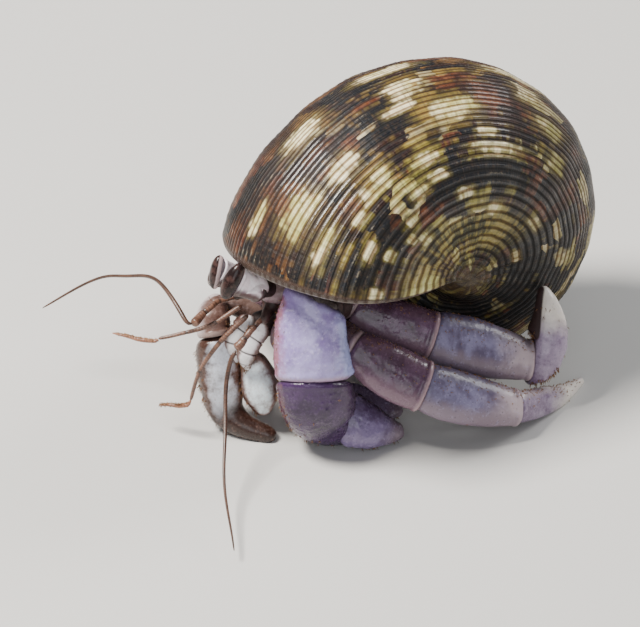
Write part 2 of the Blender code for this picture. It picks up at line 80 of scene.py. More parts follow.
# a material and the few ways its nodes are made
class Paint:
    def __init__(self, name, **constants):
        self.material = bpy.data.materials.new(name)
        self.material.use_nodes = True
        self.tree = self.material.node_tree
        self.shader = self.tree.nodes["Principled BSDF"]
        for socket, value in constants.items():
            self.shader.inputs[socket.replace("_", " ")].default_value = value
        print("mixed", name)

    def node(self, kind, settings, values, output=0):
        made = self.tree.nodes.new(kind)
        for key, value in settings.items():
            setattr(made, key, value)
        for key, value in values.items():
            socket = made.inputs[key]
            if isinstance(value, Flow):
                self.tree.links.new(value.socket, socket)
            else:
                socket.default_value = value
        return Flow(self, made.outputs[output])

    def maths(self, operation, a, b=0.0):
        return self.node("ShaderNodeMath", {"operation": operation}, {0: a, 1: b})

    def between(self, value, low, high):
        return self.node("ShaderNodeMapRange", {"interpolation_type": "SMOOTHSTEP"},
                         {"Value": value, "From Min": low, "From Max": high})

    def mix(self, factor, a, b, way="MIX"):
        a = (*a, 1.0) if isinstance(a, tuple) else a
        b = (*b, 1.0) if isinstance(b, tuple) else b
        settings = {"data_type": "RGBA", "blend_type": way}
        return self.node("ShaderNodeMix", settings, {0: factor, 6: a, 7: b}, 2)

    def field(self, name):
        return self.node("ShaderNodeAttribute", {"attribute_name": name}, {}, "Fac")

    def place(self):
        return self.node("ShaderNodeNewGeometry", {}, {}, "Position")

    def vector(self, x, y):
        return self.node("ShaderNodeCombineXYZ", {}, {0: x, 1: y})

    def cloud(self, where, scale, detail=3.0, rough=0.5, twist=0.0):
        values = {"Vector": where, "Scale": scale, "Detail": detail, "Roughness": rough, "Distortion": twist}
        return self.node("ShaderNodeTexNoise", {}, values, "Fac")

    def cells(self, where, scale, distance="EUCLIDEAN", output="Distance"):
        values = {"Vector": where, "Scale": scale}
        return self.node("ShaderNodeTexVoronoi", {"distance": distance}, values, output)

    def relief(self, height, depth, strength=1.0, under=None):
        values = {"Strength": strength, "Distance": depth, "Height": height}
        if under is not None:
            values["Normal"] = under
        return self.node("ShaderNodeBump", {}, values)

    def feed(self, **sockets):
        for name, flow in sockets.items():
            self.tree.links.new(flow.socket, self.shader.inputs[name.replace("_", " ")])


def unit(v):
    v = np.asarray(v, float)
    return v / np.linalg.norm(v)


def smoothStep(x, low, high):
    part = np.clip((np.asarray(x, float) - low) / (high - low), 0.0, 1.0)
    return part * part * (3.0 - 2.0 * part)


def bell(x, middle, width):
    return np.exp(-((x - middle) / width) ** 2)


def scaled(colour, share, lift=0.0, top=1.0):
    return tuple(min(c * share + lift, top) for c in colour)


# the places ("co") or the normals ("normal") of a mesh's corners
def readCorners(mesh, what):
    values = np.empty(len(mesh.vertices) * 3)
    mesh.vertices.foreach_get(what, values)
    return values.reshape(-1, 3)


# the four-sided faces of a grid of points, joined round if closed
def gridFaces(rows, columns, closed):
    across = columns if closed else columns - 1
    i, j = np.meshgrid(np.arange(rows - 1), np.arange(across), indexing="ij")
    k = (j + 1) % columns
    corners = (i * columns + j, i * columns + k, (i + 1) * columns + k, (i + 1) * columns + j)
    return np.stack(corners, -1).reshape(-1, 4).tolist()


# the surface normals of a grid of points
def normalsOf(grid, closed):
    down = np.gradient(grid, axis=0)
    across = (np.roll(grid, -1, axis=1) - np.roll(grid, 1, axis=1)) if closed else np.gradient(grid, axis=1)
    normal = np.cross(across, down)
    size = np.linalg.norm(normal, axis=2, keepdims=True)
    return normal / np.maximum(size, 1e-9)


# points, faces and fields gathered for one finished mesh
class Piece:
    def __init__(self, name):
        self.name = name
        self.points = []
        self.faces = []
        self.fields = {}
        self.spots = []
        self.count = 0

    def add(self, points, faces, spots=None, **fields):
        points = np.asarray(points, float).reshape(-1, 3)
        for key, values in fields.items():
            self.fields.setdefault(key, []).append(np.broadcast_to(values, len(points)))
        for key in self.fields.keys() - fields.keys():          # a field that these points lack is 0 there
            self.fields[key].append(np.zeros(len(points)))
        self.points.append(points)
        self.faces.extend([v + self.count for v in face] for face in faces)
        if spots is not None:
            self.spots.append(spots)
        self.count += len(points)

    # a grid of points, with a fan from its middle over each end if capped
    def addGrid(self, grid, closed, capped, **fields):
        rows, columns = grid.shape[:2]
        points = grid.reshape(-1, 3)
        faces = gridFaces(rows, columns, closed)
        size = (rows, columns)
        fields = {key: np.broadcast_to(values, size).reshape(-1) for key, values in fields.items()}
        if capped:
            lastRow = (rows - 1) * columns
            middles = [points[start:start + columns].mean(axis=0) for start in (0, lastRow)]
            for j in range(columns):
                faces.append(((j + 1) % columns, j, len(points)))
            for j in range(columns):
                faces.append((lastRow + j, lastRow + (j + 1) % columns, len(points) + 1))
            points = np.vstack([points, middles])
            for key, values in fields.items():
                fields[key] = np.concatenate([values, [values[:columns].mean()], [values[-columns:].mean()]])
        self.add(points, faces, **fields)

    def finish(self, paint, slot, nodes):
        mesh = bpy.data.meshes.new(self.name)
        points = np.vstack(self.points) * mm
        points[:, 2] = np.maximum(points[:, 2], 0.0)          # nothing reaches under the floor
        mesh.from_pydata(points.tolist(), [], self.faces)
        for key, stack in self.fields.items():
            layer = mesh.attributes.new(key, "FLOAT", "POINT")
            layer.data.foreach_set("value", np.concatenate(stack).astype(np.float32))
        mesh.polygons.foreach_set("use_smooth", [True] * len(mesh.polygons))
        if self.spots:
            spots = np.vstack(self.spots)
            corners = np.empty(len(mesh.loops), np.int32)
            mesh.loops.foreach_get("vertex_index", corners)
            layer = mesh.uv_layers.new(name="OFBake")
            layer.data.foreach_set("uv", spots[corners].astype(np.float32).reshape(-1))
        mesh.update()
        mesh.materials.append(paint.material)
        thing = bpy.data.objects.new(self.name, mesh)
        scene.collection.objects.link(thing)
        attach(thing, "root")
        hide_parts(*nodes)
        for node in nodes:
            pieceOf.setdefault(node, thing)
        print("made", self.name, len(mesh.polygons), "faces")


# the turban shell: one ellipse, grown and turned about the coiling axis
shellBox = [np.array(corner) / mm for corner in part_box("shell")]
turban = {
    "growth": 2.34,               # size gained in one turn
    "lipRadius": 26.8,            # axis to the outermost point of the lip
    "halfWidth": 15.5,            # half of the whorl across the axis
    "halfLength": 14.5,           # half of the whorl along the axis
    "station": 21.1,              # growth centre to the middle of the lip, along the axis
    "spireStart": 1.0,            # turns back where the spire tightens
    "spireGrowth": 1.6,           # size gained in one turn of the spire
    "spireHeight": 15.5,          # from that turn to the apex, along the axis
    "spireSlope": 0.7,            # how fast the spire widens
    "whorls": 9,                  # turns of the spire that are looked through for the outermost
    "baseEnd": 25.5,              # growth centre to the end of the pillar
    "baseDraw": (138, 180),       # degrees of tilt over which the base is drawn in to that end
    "heart": 12.0,                # a point of the axis that sees the whole outside
    "lipTurn": 16.6,              # degrees of the lip above straight ahead
    "yaw": 19.1,                  # degrees the base end is swung forward
    "pitch": 11.7,                # degrees the base end is lifted
    "basePoint": (1.1306, 0.4662, 0.4907),    # a point of the axis by the base, as shares of the solid's box
    "baseReach": 32.7,            # that point to the growth centre
    "wall": 1.25,                 # thickness
    "mouthTurns": 0.3,            # how far back the mouth is open
    "lipBulge": 0.0045,           # turns that the rolled lip stands forward
    "lipRings": 9,                # divisions over the lip
    "cordPitch": 0.72,            # one cord to the next, at the lip
    "cordSpread": 0.13,           # how much wider the cords grow towards the base
    "cordHeight": 0.12,
    "scales": 150,                # low scales on a cord in one turn
    "steps": int(360 * fine),     # divisions of one turn
    "columns": int(600 * max(fine, 0.9)),    # divisions from spire to base
}
# blotches, placed one by one: angle round the whorl, turns back from the lip, and half of each size
shellMarks = {
    "dark": ((0.1, 0.13, 0.2, 0.02), (0.35, 0.125, 0.1, 0.012), (0.58, 0.142, 0.17, 0.02),
            (0.82, 0.137, 0.14, 0.014), (0.62, 0.075, 0.12, 0.013), (0.1, 0.065, 0.2, 0.012),
            (0.0, 0.04, 0.1, 0.012), (0.4, 0.03, 0.1, 0.014), (0.68, 0.03, 0.07, 0.013),
            (1.2, 0.22, 0.12, 0.085), (1.15, 0.118, 0.06, 0.008), (1.15, 0.03, 0.16, 0.022),
            (1.3, 0.07, 0.13, 0.018), (1.42, 0.165, 0.08, 0.035), (1.42, 0.3, 0.12, 0.03),
            (0.05, 0.225, 0.07, 0.035), (0.65, 0.256, 0.1, 0.016), (0.4, 0.262, 0.1, 0.014),
            (0.95, 0.195, 0.13, 0.011), (0.88, 0.282, 0.1, 0.014), (0.2, 0.02, 0.1, 0.008),
            # the broad last blotch on this line and the first on the next lie on the underside by the base:
            # partly dark pattern, partly painted shade
            (0.42, 0.145, 0.06, 0.008), (0.78, 0.175, 0.06, 0.01), (1.6, 0.5, 0.4, 0.09),
            (1.3, 0.68, 0.7, 0.08), (1.1, 0.42, 0.14, 0.03), (0.6, 0.42, 0.14, 0.02)),
    "rust": ((0.27, 0.21, 0.08, 0.02), (0.32, 0.092, 0.05, 0.018), (0.44, 0.24, 0.07, 0.012),
            (0.66, 0.24, 0.06, 0.008), (0.16, 0.052, 0.05, 0.012), (1.86, 0.08, 0.1, 0.05),
            (1.68, 0.2, 0.08, 0.03), (0.95, 0.37, 0.15, 0.02), (0.58, 0.36, 0.1, 0.015),
            (0.25, 0.14, 0.04, 0.015)),
    "olive": ((1.66, 0.12, 0.12, 0.08), (1.75, 0.28, 0.2, 0.09), (0.9, 0.168, 0.07, 0.012),
            (1.35, 0.27, 0.05, 0.012), (0.76, 0.055, 0.05, 0.02), (1.3, 0.1, 0.08, 0.012),
            (1.02, 0.145, 0.06, 0.012), (1.5, 0.03, 0.07, 0.016)),
    "pale": ((0.06, 0.092, 0.1, 0.016), (0.53, 0.05, 0.13, 0.018), (0.6, 0.095, 0.1, 0.014),
            (0.85, 0.112, 0.1, 0.012), (0.6, 0.2, 0.12, 0.024), (0.24, 0.172, 0.14, 0.015),
            (0.95, 0.157, 0.07, 0.014), (0.9, 0.097, 0.06, 0.014), (0.97, 0.072, 0.05, 0.007),
            (0.83, 0.036, 0.06, 0.018), (1.15, 0.05, 0.04, 0.012), (1.3, 0.055, 0.04, 0.007),
            (1.45, 0.1, 0.05, 0.01), (1.38, 0.086, 0.04, 0.007), (1.28, 0.105, 0.04, 0.007),
            (1.15, 0.134, 0.04, 0.012), (1.12, 0.16, 0.04, 0.01), (1.33, 0.19, 0.04, 0.012),
            (1.5, 0.25, 0.06, 0.016), (1.05, 0.126, 0.04, 0.007), (1.74, 0.02, 0.1, 0.022),
            (1.6, 0.004, 0.08, 0.012), (1.3, 0.004, 0.05, 0.009), (0.85, 0.23, 0.05, 0.012),
            (1.0, 0.245, 0.05, 0.03), (0.62, 0.31, 0.1, 0.02), (0.32, 0.288, 0.12, 0.016),
            (0.9, 0.33, 0.1, 0.012), (0.02, 0.285, 0.07, 0.03), (-0.14, 0.17, 0.08, 0.02),
            (0.44, 0.16, 0.05, 0.014), (0.2, 0.03, 0.06, 0.01), (1.45, 0.36, 0.05, 0.02),
            (1.75, 0.42, 0.05, 0.02)),
}


def shellAxes():
    yaw = math.radians(turban["yaw"])
    pitch = math.radians(turban["pitch"])
    axis = np.array((math.cos(pitch) * math.cos(yaw), -math.cos(pitch) * math.sin(yaw), math.sin(pitch)))
    upward = unit(np.array((0.0, 0.0, 1.0)) - axis * axis[2])
    forward = unit(np.cross(upward, axis))
    if forward[1] > 0:
        forward = -forward
    base = shellBox[0] + (shellBox[1] - shellBox[0]) * np.array(turban["basePoint"])
    return axis, upward, forward, base - axis * turban["baseReach"]


shellAxis, shellUp, shellAhead, shellApex = shellAxes()


# points from distance along the axis, distance out, and turns back from the lip
def shellPoints(along, out, turns):
    angle = np.radians(turban["lipTurn"]) + 2 * np.pi * np.asarray(turns, float)
    radial = np.cos(angle)[..., None] * shellAhead + np.sin(angle)[..., None] * shellUp
    return shellApex + np.asarray(along)[..., None] * shellAxis + radial * np.asarray(out)[..., None]


# the same from a distance and a tilt seen from the heart
def fromHeart(reach, tilt):
    return turban["heart"] - reach * np.cos(tilt), reach * np.sin(tilt)


# middle (along, out) and half sizes (along, out) of the whorl that many turns before the lip
def whorl(turns):
    turns = np.asarray(turns, float)
    inner = turban["spireGrowth"] ** -np.maximum(turns - turban["spireStart"], 0.0)
    outer = turban["growth"] ** -np.minimum(turns, turban["spireStart"])
    scale = outer * inner
    along = turban["station"] * outer - turban["spireHeight"] * (1.0 - inner)
    out = (turban["lipRadius"] - turban["halfWidth"]) * scale
    return along, out, turban["halfLength"] * scale, turban["halfWidth"] * scale


# far crossing of the rays from the heart with one whorl, zero where they miss
def rayOut(turns, tilt, shrink=0.0):
    cx, cy, hx, hy = whorl(turns)
    hx, hy = hx - shrink, hy - shrink
    sx, sy = (turban["heart"] - cx) / hx, -cy / hy
    dx, dy = -np.cos(tilt) / hx, np.sin(tilt) / hy
    a = dx * dx + dy * dy
    b = sx * dx + sy * dy
    c = sx * sx + sy * sy - 1.0
    under = b * b - a * c
    far = (-b + np.sqrt(np.maximum(under, 0.0))) / a
    return np.where((under > 0) & (far > 0), far, 0.0)


# the outside at a turn: distance from the heart, which whorl shows, and its own angle round the section
def outline(turns, tilt):
    best = np.zeros(np.broadcast(turns, tilt).shape)
    which = np.zeros(best.shape)
    for k in range(turban["whorls"]):
        far = rayOut(turns + k, tilt)
        which = np.where(far > best, k, which)
        best = np.maximum(best, far)
    apexAlong = turban["station"] / turban["growth"] - turban["spireHeight"]
    slope = turban["spireSlope"]
    cone = (turban["heart"] - apexAlong) * slope / (np.sin(tilt) + slope * np.cos(tilt))
    best = np.where(tilt < 1.4, np.maximum(best, cone * 0.96), best)       # it fills the spire's deep steps
    cx, cy, hx, hy = whorl(turns + which)
    along, out = fromHeart(best, tilt)
    section = np.arctan2((along - cx) / hx, (out - cy) / hy)
    part = smoothStep(tilt, *np.radians(turban["baseDraw"]))
    reach = best * (1 - part) + (turban["baseEnd"] - turban["heart"]) * part
    return reach, which, section


# the inner wall at a turn, never nearer to the outside than the wall's thickness
def innerReach(turn, tilt, outside, wall):
    raw = rayOut(turn, tilt, wall)
    return np.where(raw > 0, np.minimum(raw, outside - wall), outside - wall)


# rounded cords that follow the growth, with low scales on them and uneven growth ridges under them
def cordRelief(section, turns):
    size = turban["growth"] ** -np.minimum(turns, 4.0)
    phase = section * (1 - turban["cordSpread"] * section) * turban["halfWidth"] / turban["cordPitch"]
    cord = (0.5 + 0.5 * np.cos(2 * np.pi * phase)) ** 0.8
    scaly = 0.75 + 0.25 * np.cos(2 * np.pi * (turns * turban["scales"] + 0.35 * np.sin(section * 9)))
    growth = (0.05 * np.sin(turns * 2 * np.pi * 23 + 2.0 * np.sin(section * 1.3))
              + 0.06 * np.sin(turns * 2 * np.pi * 9.3 + section * 1.1))
    return (turban["cordHeight"] * cord * scaly + growth) * (0.35 + 0.65 * size)


# how far each point is from the nearest blotch of each kind: 0 in its middle, 1 at its edge
def markFields(section, turns):
    fields = {}
    for kind, marks in shellMarks.items():
        nearest = np.full(section.shape, 3.0)
        for s, t, halfS, halfT in marks:
            away = (np.abs((section - s) / halfS) ** 4 + np.abs((turns - t) / halfT) ** 4) ** 0.25
            nearest = np.minimum(nearest, away)
        fields[kind] = nearest
    return fields


def addOutside(piece):
    columns = turban["columns"]
    lastTurn = 1.0 + turban["mouthTurns"]          # it laps over itself where the mouth is open
    turns = np.linspace(0.0, lastTurn, int(turban["steps"] * lastTurn) + 1)
    probe = np.linspace(0.0, math.pi, 1500)       # close enough to measure the outline by
    grid = np.empty((len(turns), columns, 3))
    sections = np.empty((len(turns), columns))
    whorls = np.empty((len(turns), columns))
    for i, turn in enumerate(turns):
        x, y = fromHeart(outline(turn, probe)[0], probe)
        length = np.concatenate(([0.0], np.cumsum(np.hypot(np.diff(x), np.diff(y)))))
        tilt = np.interp(np.linspace(0.0, length[-1], columns), length, probe)      # evenly spaced columns
        reach, which, sections[i] = outline(turn, tilt)
        whorls[i] = turn + which
        grid[i] = shellPoints(*fromHeart(reach, tilt), np.full(columns, turn))
    normal = normalsOf(grid, False)
    outward = grid - (shellApex + shellAxis * turban["heart"])
    normal *= np.sign((normal * outward).sum(axis=2, keepdims=True))
    away = np.abs(np.linspace(0, 1, columns) - 0.5) * 2
    calm = (1 - smoothStep(away, 0.96, 1.0))[None, :]          # no cords at the very apex and pillar
    calm = calm * (1 - 0.7 * smoothStep(sections, 2.0, 2.4))   # and low ones on the callus
    lipEase = smoothStep(turns, 0.0, 0.012)[:, None]           # and at the very lip
    lift = cordRelief(sections, whorls) * calm
    grid = grid + normal * (lift * (0.4 + 0.6 * lipEase))[..., None]
    piece.addGrid(grid, False, False, section=sections, turns=whorls, inside=0.0,
                  **markFields(sections, whorls))


# the inner wall, from the spire side round the whorl to the pillar
def addMouth(piece):
    turns = np.linspace(0.0, turban["mouthTurns"], int(90 * fine) + 2)
    first = np.linspace(-2.6, 0.0, int(120 * fine))       # round the whorl's middle, then from the heart
    grid = np.empty((len(turns), len(first) + int(150 * fine), 3))
    sections = np.empty(grid.shape[:2])
    for i, turn in enumerate(turns):
        wall = turban["wall"] * (1.0 if turn > 0.02 else 0.75 + 12.5 * turn)        # thinner at the lip
        cx, cy, hx, hy = whorl(turn)
        x1 = cx + (hx - wall) * np.sin(first)
        y1 = cy + (hy - wall) * np.cos(first)
        begin = math.atan2(y1[-1], turban["heart"] - x1[-1])
        tilt = np.linspace(begin, math.radians(177), grid.shape[1] - len(first) + 1)[1:]
        outside, _, section = outline(turn, tilt)
        x2, y2 = fromHeart(innerReach(turn, tilt, outside, wall), tilt)
        out = np.maximum(np.concatenate((y1, y2)), 0.2)
        grid[i] = shellPoints(np.concatenate((x1, x2)), out, np.full(grid.shape[1], turn))
        sections[i] = np.concatenate((first, section))
    piece.addGrid(grid[:, ::-1], False, False, section=sections[:, ::-1], turns=turns[:, None], inside=1.0)


# the rolled lip, from the outside over to the inner wall
def addLip(piece):
    tilt = np.linspace(0.62, math.radians(176), int(260 * fine))          # from the seam to the pillar
    outside, which, section = outline(0.0, tilt)
    show = which == 0
    tilt, outside, section = tilt[show], outside[show], section[show]
    reachInside = innerReach(0.0, tilt, outside, turban["wall"] * 0.75)
    lift = cordRelief(section, 0.0) * 0.4
    count = turban["lipRings"]
    rows = []
    for q in np.linspace(0.0, 1.0, count):
        reach = (outside + lift) * (1 - q) + reachInside * q
        bulge = turban["lipBulge"] * math.sin(math.pi * q) ** 0.7
        rows.append(shellPoints(*fromHeart(reach, tilt), np.full(len(reach), -bulge)))
    inside = np.linspace(0.2, 1.0, count)[:, None]          # the pearl begins on the lip
    piece.addGrid(np.array(rows), False, False, section=section, turns=0.0, inside=inside,
                  **markFields(section, 0.0))


def buildShell():
    piece = Piece("turbanShell")
    addOutside(piece)
    addMouth(piece)
    addLip(piece)
    return piece


shellTones = {
    "navy": ((0.004, 0.005, 0.009), (0.026, 0.008, 0.006)),
    "rust": ((0.035, 0.009, 0.005), (0.22, 0.065, 0.02)),
    "olive": ((0.035, 0.034, 0.007), (0.33, 0.29, 0.05)),
    "cream": ((0.96, 0.87, 0.58), (0.5, 0.48, 0.15)),
    "stain": (0.5, 0.24, 0.09),           # streaks on the cream
    "halo": (0.3, 0.24, 0.06),            # round a cream blotch
    "baseOlive": (0.38, 0.3, 0.07),
    "lipShade": (0.5, 0.4, 0.38),
    "dust": (0.16, 0.09, 0.04),
    "growthLine": (0.05, 0.032, 0.02),
    # painted shade in the grooves between the cords
    "groove": (0.27, 0.19, 0.13),
    "worn": (0.7, 0.62, 0.45),
    "lipEdge": (0.05, 0.028, 0.02),
    # the callus colour, darkened as painted shade round the pillar
    "callusAndShade": ((0.06, 0.035, 0.012), (0.3, 0.22, 0.08)),
    "varnish": ((0.75, 0.6, 0.42), (0.9, 0.8, 0.5)),
    # painted shade on the whorls behind the lip
    "paintedWhorlShade": (0.45, 0.4, 0.34),
    "pearl": ((0.62, 0.58, 0.5), (0.75, 0.73, 0.68)),
}


def paintShell():
    tones = shellTones
    paint = Paint("turbanShellPaint", Coat_Roughness=0.08, Specular_IOR_Level=0.35)
    section = paint.field("section")
    turns = paint.field("turns")
    inside = paint.field("inside")
    here = paint.place()
    phase = section * (1 - section * turban["cordSpread"]) * (turban["halfWidth"] / turban["cordPitch"])
    cord = paint.maths("ROUND", phase)
    ridge = paint.maths("COSINE", phase * 2 * math.pi) * 0.5 + 0.5
    chance = paint.node("ShaderNodeTexWhiteNoise", {"noise_dimensions": "1D"}, {"W": cord}, "Value")
    broad = paint.cloud(here, 110.0, 2.0)
    middling = paint.cloud(here, 380.0, 3.0, 0.6)
    small = paint.cloud(here, 1900.0, 3.0, 0.6)
    dash = paint.cloud(paint.vector(cord * 3.7, turns * 95.0), 1.0, 2.0)

    # blocks along the cords pick one of the four colours, more olive on the base
    shifted = turns + (chance - 0.5) * 0.014 + (middling - 0.5) * 0.03
    blockAt = paint.vector(section * 5.2 + (broad - 0.5) * 1.5, shifted * 25.0)
    block = paint.cells(blockAt, 1.0, distance="CHEBYCHEV", output="Color")
    pick = paint.node("ShaderNodeSeparateColor", {}, {0: block}, 0)
    placed = 1 - paint.between(turns, 0.33, 0.4)
    pick = pick - placed * 0.2 * paint.between(pick, 0.4, 0.9)
    onBase = paint.between(section, 1.4, 1.6) * (1 - paint.between(section, 1.85, 2.1)) * placed
    pick = pick + (0.42 - pick * 0.4) * onBase * 0.8

    # the four colours
    navy = paint.mix(paint.between(broad + (chance - 0.5) * 0.2, 0.42, 0.6), *tones["navy"])
    dashed = middling + (dash - 0.5) * 0.5
    rust = paint.mix(paint.between(dashed, 0.35, 0.75), *tones["rust"])
    olive = paint.mix(paint.between(dashed, 0.3, 0.7), *tones["olive"])
    nearLip = 1 - paint.between(turns + (middling - 0.5) * 0.05, 0.05, 0.15)
    olive = paint.mix(0.5 * (1 - paint.between(section, 0.6, 1.1)), olive, rust)
    olive = paint.mix(nearLip * 0.75 * (1 - paint.between(section, 0.5, 0.9)), olive, rust)
    greener = paint.between(broad + section * 0.14 + (dash - 0.5) * 0.6 + (small - 0.5) * 0.3, 0.42, 0.78)
    cream = paint.mix(greener, *tones["cream"])
    cream = paint.mix(paint.between(dash, 0.56, 0.75) * 0.6, cream, tones["stain"])
    colour = paint.mix(paint.between(pick, 0.42, 0.46), navy, rust)
    colour = paint.mix(paint.between(pick, 0.56, 0.6), colour, olive)
    colour = paint.mix(paint.between(pick, 0.74, 0.78), colour, cream)

    # the placed blotches, the pale ones last, in a yellower halo
    ragged = (chance - 0.5) * 0.55 + (middling - 0.5) * 1.5 + (dash - 0.5) * 0.7
    for kind, tone in (("dark", navy), ("rust", rust), ("olive", olive), ("pale", cream)):
        mark = paint.field(kind) + ragged
        if kind == "pale":
            colour = paint.mix(nearLip * 0.85, colour, tones["lipShade"], "MULTIPLY")
            dashes = paint.between(dash + middling - 1.0, -0.2, 0.2)
            colour = paint.mix(onBase * dashes * 0.75, colour, tones["baseOlive"])
            halo = 1 - paint.between(mark + (small - 0.5) * 0.8, 1.0, 1.6)
            colour = paint.mix(halo * 0.5, colour, paint.mix(0.5, olive, tones["halo"]))
        colour = paint.mix(1 - paint.between(mark, 0.64, 1.08), colour, tone)

    # streaks, dust, growth lines, painted shade in the grooves, and wear
    streak = paint.between(dash + (chance - 0.5) * 0.4, 0.62, 0.72)
    colour = paint.mix(streak * 0.4, colour, olive)
    colour = paint.mix(paint.between(small, 0.45, 0.75) * 0.25, colour, tones["dust"])
    growth = paint.cloud(paint.vector(turns * 330.0, section * 1.2), 1.0, 3.0, 0.7)
    colour = paint.mix(paint.between(growth, 0.5, 0.7) * 0.4, colour, tones["growthLine"])
    onCallusAndShade = paint.between(section + (middling - 0.5) * 0.5, 1.95, 2.4)
    # the grooves between the cords are darkened: painted shade
    groove = paint.between(1 - ridge, 0.3, 0.95) * (1 - onCallusAndShade * 0.6)
    colour = paint.mix(groove * 0.93, colour, tones["groove"], "MULTIPLY")
    worn = paint.between(ridge * 0.6 + small * 0.6, 0.82, 1.0) * paint.between(middling, 0.52, 0.66)
    colour = paint.mix(worn * 0.3, colour, tones["worn"])
    edge = 1 - paint.between(turns + (small - 0.5) * 0.002, 0.0008, 0.0032)
    colour = paint.mix(edge * 0.9, colour, tones["lipEdge"])
    # the callus round the pillar is dark brown, darkest in its middle: partly its own colour, partly painted
    # shade
    callusAndShade = paint.mix(paint.between(broad + (small - 0.5) * 0.3, 0.4, 0.62), *tones["callusAndShade"])
    colour = paint.mix(onCallusAndShade * 0.9, colour, callusAndShade)
    varnish = paint.mix(paint.between(broad + (middling - 0.5) * 0.4, 0.35, 0.7), *tones["varnish"])
    colour = paint.mix(0.15, colour, varnish, "MULTIPLY")
    # painted shade: the shell darkens from a fifth of a turn behind the lip onward
    colour = paint.mix(paint.between(turns, 0.2, 0.36) * 0.75, colour, tones["paintedWhorlShade"], "MULTIPLY")
    pearl = paint.mix(paint.between(middling, 0.35, 0.65), *tones["pearl"])
    colour = paint.mix(paint.between(inside, 0.3, 0.85), colour, pearl)

    rough = 0.36 + groove * 0.3 + (small - 0.5) * 0.2 + growth * 0.08
    coat = (1 - groove) * 0.4 * paint.between(middling, 0.25, 0.6)
    grit = paint.relief(small, 0.00006, 0.5)
    lines = paint.relief(growth, 0.00012, 0.6, grit)
    threads = paint.maths("COSINE", phase * 6 * math.pi) * 0.5 + dash       # three fine threads to a cord
    paint.feed(Base_Color=colour, Roughness=rough, Coat_Weight=coat,
               Normal=paint.relief(threads, 0.00005, 0.5, lines))
    return paint


buildShell().finish(paintShell(), "shell", ["shell"])


solids = {}


# a solid's points in millimetres, its faces, and a tree for finding the nearest point and for rays
def solid(node):
    if node not in solids:
        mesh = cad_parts[node].data
        points = readCorners(mesh, "co") / mm
        points, same = np.unique(np.round(points, 4), axis=0, return_inverse=True)
        same = same.reshape(-1)
        faces = [tuple(int(same[v]) for v in face.vertices) for face in mesh.polygons]
        solids[node] = points, faces, BVHTree.FromPolygons(points.tolist(), faces)
    return solids[node]


# the low and high corners of a solid's box, in millimetres
def boxOf(node):
    return [np.array(corner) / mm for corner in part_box(node)]


def boxMiddle(node):
    return sum(np.array(corner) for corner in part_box(node)) / 2 / mm


# the middle of each face of a solid, and its area as an arrow out of it
def facesOf(node):
    points, faces, _ = solid(node)
    for face in faces:
        corners = points[list(face)]
        yield corners.mean(axis=0), np.cross(corners[1] - corners[0], corners[-1] - corners[0]) / 2


# the middle of the face that a solid turns to its neighbour, and that face's outward normal
def meeting(node, neighbour, facing=0.7, slack=0.4):
    other = solid(neighbour)[2]
    found = []
    for middle, area in facesOf(node):
        size = np.linalg.norm(area)
        spot, _, _, gap = other.find_nearest(Vector(middle))
        if np.dot(area, np.array(spot) - middle) / max(size * gap, 1e-9) > facing:
            found.append((gap, size, middle, area))
    near = min(row[0] for row in found)
    kept = [row for row in found if row[0] < near + slack]
    middle = sum(row[1] * row[2] for row in kept) / sum(row[1] for row in kept)
    return middle, unit(sum(row[3] for row in kept))


# the middle of a flat that looks one way
def flatFace(node, direction):
    middle, total = np.zeros(3), 0.0
    for spot, area in facesOf(node):
        size = np.linalg.norm(area)
        if np.dot(area, unit(direction)) > 0.97 * size:
            middle += spot * size
            total += size
    return middle / total, unit(direction)


def farEnd(node, start):
    points = solid(node)[0]
    return points[np.argmax(np.linalg.norm(points - start, axis=1))]


# the points where a plane crosses a solid's edges, near a spot
def cutThrough(node, spot, normal, reach):
    points, faces, _ = solid(node)
    side = (points - spot) @ normal
    pairs = {tuple(sorted(pair)) for face in faces for pair in zip(face, (face[-1], *face))}
    pairs = np.array(sorted(pairs))
    a, b = side[pairs[:, 0]], side[pairs[:, 1]]
    crossing = (a > 0) != (b > 0)
    pairs, a, b = pairs[crossing], a[crossing], b[crossing]
    hit = points[pairs[:, 0]] + (points[pairs[:, 1]] - points[pairs[:, 0]]) * (a / (a - b))[:, None]
    return hit[np.linalg.norm(hit - spot, axis=1) < reach]


# the two directions across a normal: the one nearest to up, and the one beside it
def crossFrame(normal, up):
    height = unit(up - normal * np.dot(up, normal))
    return height, np.cross(normal, height)


def middleOf(cut, spot, normal, up):
    if len(cut) < 3:
        return spot
    height, side = crossFrame(normal, up)
    x, y = (cut - spot) @ side, (cut - spot) @ height
    return spot + side * (x.min() + x.max()) / 2 + height * (y.min() + y.max()) / 2


# evens rows of values out, round each row if closed or else along the rows
def soften(rows, times, closed):
    for _ in range(times):
        if closed:
            rows = (np.roll(rows, 1, axis=1) + 2 * rows + np.roll(rows, -1, axis=1)) / 4
        else:
            inner = (rows[:-2] + 2 * rows[1:-1] + rows[2:]) / 4
            rows = np.concatenate((rows[:1], inner, rows[-1:]))
    return rows


def resample(rows, count):
    old = np.linspace(0.0, 1.0, len(rows))
    new = np.linspace(0.0, 1.0, count)
    flat = rows.reshape(len(rows), -1)
    out = np.stack([np.interp(new, old, flat[:, k]) for k in range(flat.shape[1])], axis=1)
    return out.reshape((count,) + rows.shape[1:])


# how far along a path each of its points is
def lengthAlong(path):
    return np.concatenate(([0.0], np.cumsum(np.linalg.norm(np.diff(path, axis=0), axis=1))))


# turns a cut towards its joint's own plane within a share of the limb's length from that joint
def leanTo(normal, joint, away, share=0.6):
    if away >= share:
        return normal
    lean = (1 - away / share) ** 1.5
    return unit(normal * (1 - lean) + joint * lean)


